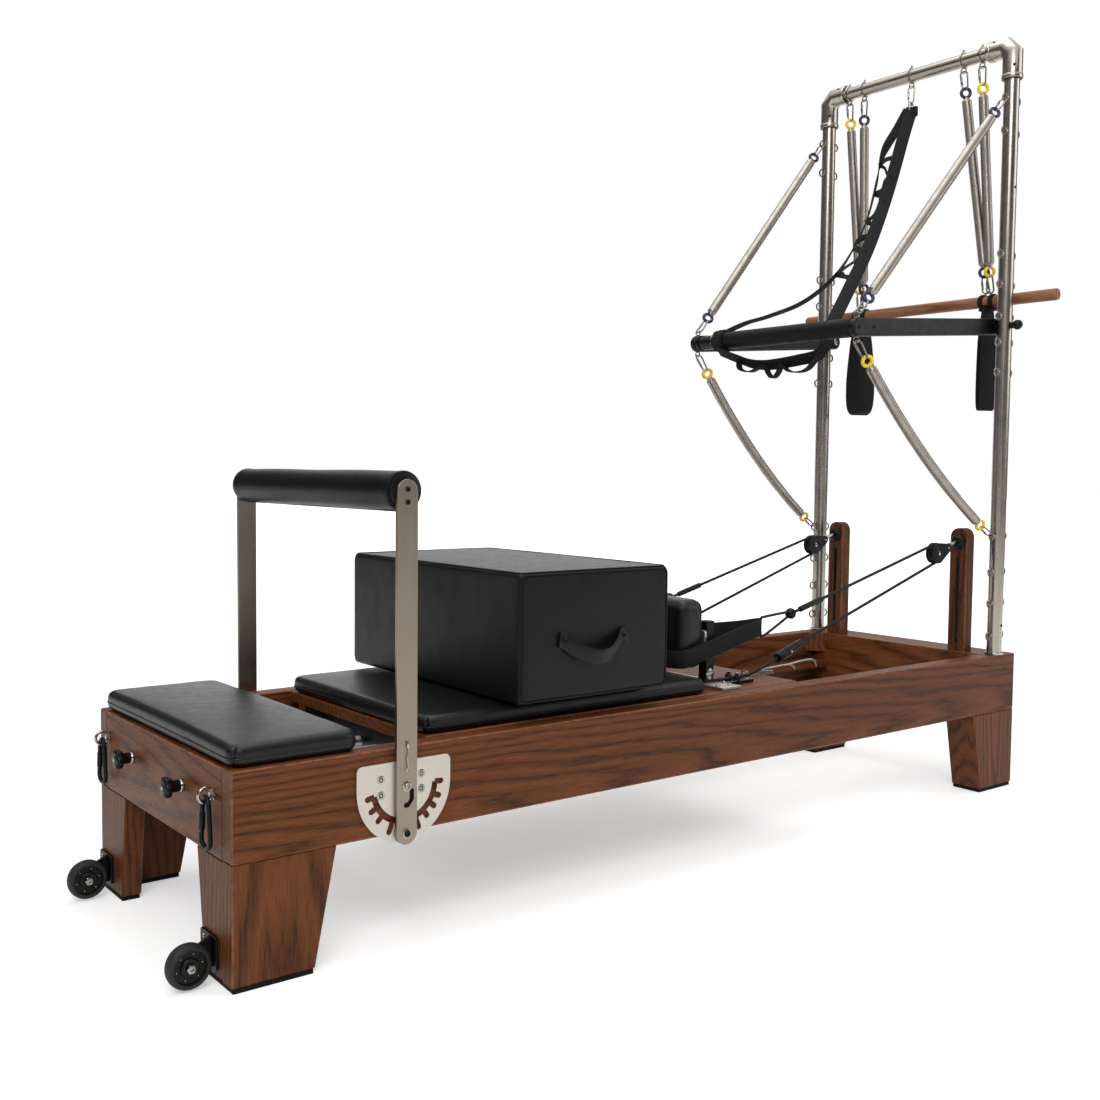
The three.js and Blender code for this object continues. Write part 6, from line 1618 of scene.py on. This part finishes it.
for i, z in enumerate(np.linspace(BAR_Z + 560, BAR_Z + 190, 10)):
    lean = 24 if i % 2 else -20
    a, b = strand_at(narrow_path, z + lean), strand_at(wide_path, z - lean)
    bow = 9.0 * math.sin(2.3 * i + 0.6) * unit(np.cross(b - a, EDGE_ON)) - 7 * EDGE_ON
    share = 0.45 + 0.4 * math.sin(1.7 * i)
    tape(catmull([a, a + 0.3 * (b - a) + bow, b - 0.3 * (b - a) - 0.6 * bow, b], 18), 19, 2.2,
         share * EDGE_ON + (1 - share) * np.array([0.0, 0.0, 1.0]), edge_rows=False)
top_z = from_posts(NARROW)[0][2]
box(strap, (POST_X - 4.5, -10, top_z - 26), (POST_X + 4.5, 34, top_z + 5), "web", 3.5)
for festoon in FESTOONS:
    tape(catmull(from_posts(festoon), 40), 24, 3, (1, 0, 0))
for s in (0.1, 0.22, 0.34, 0.46, 0.58, 0.7, 0.82):
    i = int(s * 189)
    rod(strap, 1.8, wide_path[i] - 17.5 * wide_across[i], wide_path[i] + 17.5 * wide_across[i], "thread", 10)
eye = HANGER_Z - RING_SEAT
clip(strap, (POST_X, 12, eye), (POST_X, 12, eye - CLIP_LENGTH), (0, 1, 0), 20, 2.0, "chrome")
sweep(strap, link((POST_X, 12, eye - 48), (POST_X, 12, top_z - 6), (1, 0, 0), 16, 0.0, 28), circle(4, 10), "chrome",
      closed=True)
for k in range(9):
    y = 182 - 15 + 30 * k / 8
    ring = []
    for a in np.linspace(0, 2 * math.pi, 48, endpoint=False):
        radius = 28.8 + 0.9 * math.sin(3 * a + k)
        ring.append((BAR_X + radius * math.cos(a), y + 2.2 * math.sin(a), BAR_Z + radius * math.sin(a)))
    sweep(strap, ring, strip(5.2, 3.2, 2), "web", up=np.tile((0.0, 1.0, 0.0), (48, 1)), closed=True)
for y0, y1, r in ((165, 199, 30.2), (168, 190, 32.4)):
    lathe(strap, [(24.9, y0), (r - 1.4, y0), (r, y0 + 2), (r, y1 - 2), (r - 1.4, y1), (24.9, y1)], (BAR_X, 0, BAR_Z),
          (0, 1, 0), "web", 56, closed=True)
strap.make(None, ["loop_strap"], "webbing", sharp=50,
           blend=("push_bar", "bench", spot(BAR_X + 30, 0, BAR_Z), spot(POST_X, 0, 2000)))

# Camera, floor and light

PHOTO_SIZE, FOCAL_PIXELS, SENSOR = 1100, 1214, 36
CAMERA_AT = np.array(spot(-826, -2256, 903))
azimuth, elevation, roll = math.radians(52.32), math.radians(-3.4), math.radians(0.55)
level = math.cos(elevation)
ahead = np.array([math.cos(azimuth) * level, math.sin(azimuth) * level, math.sin(elevation)])
right = unit(np.cross(ahead, (0, 0, 1)))
above = np.cross(right, ahead)
turned_right = math.cos(roll) * right + math.sin(roll) * above
turned_up = math.cos(roll) * above - math.sin(roll) * right
lens = bpy.data.cameras.new("camera")
lens.sensor_width, lens.sensor_height, lens.sensor_fit = SENSOR, SENSOR, "AUTO"
lens.lens = FOCAL_PIXELS / PHOTO_SIZE * SENSOR
lens.shift_x, lens.shift_y = 10 / PHOTO_SIZE, -9 / PHOTO_SIZE
lens.clip_start, lens.clip_end = 0.05, 60
camera = shown("camera", lens)
camera.matrix_world = Matrix((
    (turned_right[0], turned_up[0], -ahead[0], CAMERA_AT[0]),
    (turned_right[1], turned_up[1], -ahead[1], CAMERA_AT[1]),
    (turned_right[2], turned_up[2], -ahead[2], CAMERA_AT[2]),
    (0, 0, 0, 1),
))
bpy.context.scene.camera = camera
bpy.context.scene.view_settings.view_transform = "Standard"

FLOOR_REACH, FLOOR_GLOW = 40.0, 0.42
floor_mesh = bpy.data.meshes.new("studio_floor")
corners = [(x * FLOOR_REACH, y * FLOOR_REACH, 0) for x, y in ((-1, -1), (1, -1), (1, 1), (-1, 1))]
floor_mesh.from_pydata(corners, [], [(0, 1, 2, 3)])
floor = shown("studio_floor", floor_mesh)


def seen_white(tree):
    """1 for the rays that see the background plainly: from the camera, off gloss, through glass."""
    path = tree.nodes.new("ShaderNodeLightPath")
    found = path.outputs["Is Camera Ray"]
    for kind in ("Is Glossy Ray", "Is Transmission Ray"):
        most = tree.nodes.new("ShaderNodeMath")
        most.operation = "MAXIMUM"
        tree.links.new(found, most.inputs[0])
        tree.links.new(path.outputs[kind], most.inputs[1])
        found = most.outputs[0]
    return found


s = Shader("StudioFloor")
haze = s.noise(s.place(), 1.5, 2.0, 0.5)
distance = s.node("VectorMath", [s.mapped(s.place(), scale=(1, 1, 0))], out=1, operation="LENGTH")
swept = s.range(distance, 1.8, 5.5, FLOOR_GLOW, 1.0, smooth=True)
floor_mesh.materials.append(s.finish(
    Base_Color=s.mix(haze, grey(0.80), grey(0.82)), Roughness=0.75, Specular_IOR_Level=0.1,
    Emission_Color=grey(1), Emission_Strength=s.math("MULTIPLY", seen_white(s.tree), swept)))

# The studio's dark walls, seen only in gloss: all round but for the white backdrop
WALL_RADIUS, WALL_TOP = 9, 6.5
wall_mesh = bpy.data.meshes.new("studio_wall")
ring = [(WALL_RADIUS * math.cos(a), WALL_RADIUS * math.sin(a)) for a in np.radians(np.linspace(82, 378, 75))]
wall_mesh.from_pydata([(x, y, z) for x, y in ring for z in (0.0, WALL_TOP)], [],
                      [(2 * i, 2 * i + 1, 2 * i + 3, 2 * i + 2) for i in range(len(ring) - 1)])
s = Shader("StudioWall")
patches = s.noise(s.place(), 0.6, 2.0, 0.5)
wall_mesh.materials.append(s.finish(Base_Color=grey(0.02), Roughness=1.0, Emission_Strength=1.0,
                                    Emission_Color=s.mix(patches, grey(0.07), grey(0.13))))
wall = shown("studio_wall", wall_mesh)
wall.visible_camera = wall.visible_diffuse = wall.visible_shadow = False

# The world: white where it is seen plainly, a warmer and dimmer glow as light
world = bpy.data.worlds.new("studio")
bpy.context.scene.world = world
world.use_nodes = True
tree = world.node_tree
tree.nodes.clear()
choose = tree.nodes.new("ShaderNodeMixShader")
tree.links.new(seen_white(tree), choose.inputs[0])
for socket, colour, strength in ((1, (1.0, 0.99, 0.975, 1), 0.45), (2, grey(1), 1.0)):
    glow = tree.nodes.new("ShaderNodeBackground")
    glow.inputs[0].default_value, glow.inputs[1].default_value = colour, strength
    tree.links.new(glow.outputs[0], choose.inputs[socket])
tree.links.new(choose.outputs[0], tree.nodes.new("ShaderNodeOutputWorld").inputs[0])


def lamp(name, at, aim, size, power):
    """A square softbox at one point, aimed at another."""
    light = bpy.data.lights.new(name, "AREA")
    light.shape, light.size, light.energy = "SQUARE", size, power
    made = shown(name, light)
    made.location = at
    made.rotation_euler = (Vector(aim) - Vector(at)).to_track_quat("-Z", "Y").to_euler()


lamp("key", (-3.2, -3.4, 4.2), (0.0, 0.0, 0.6), 2.6, 150)
lamp("overhead", (0.4, 0.2, 5.0), (0.2, 0.0, 0.4), 3.6, 105)
lamp("fill", (3.6, -3.0, 2.4), (0.4, 0.0, 0.7), 2.4, 45)
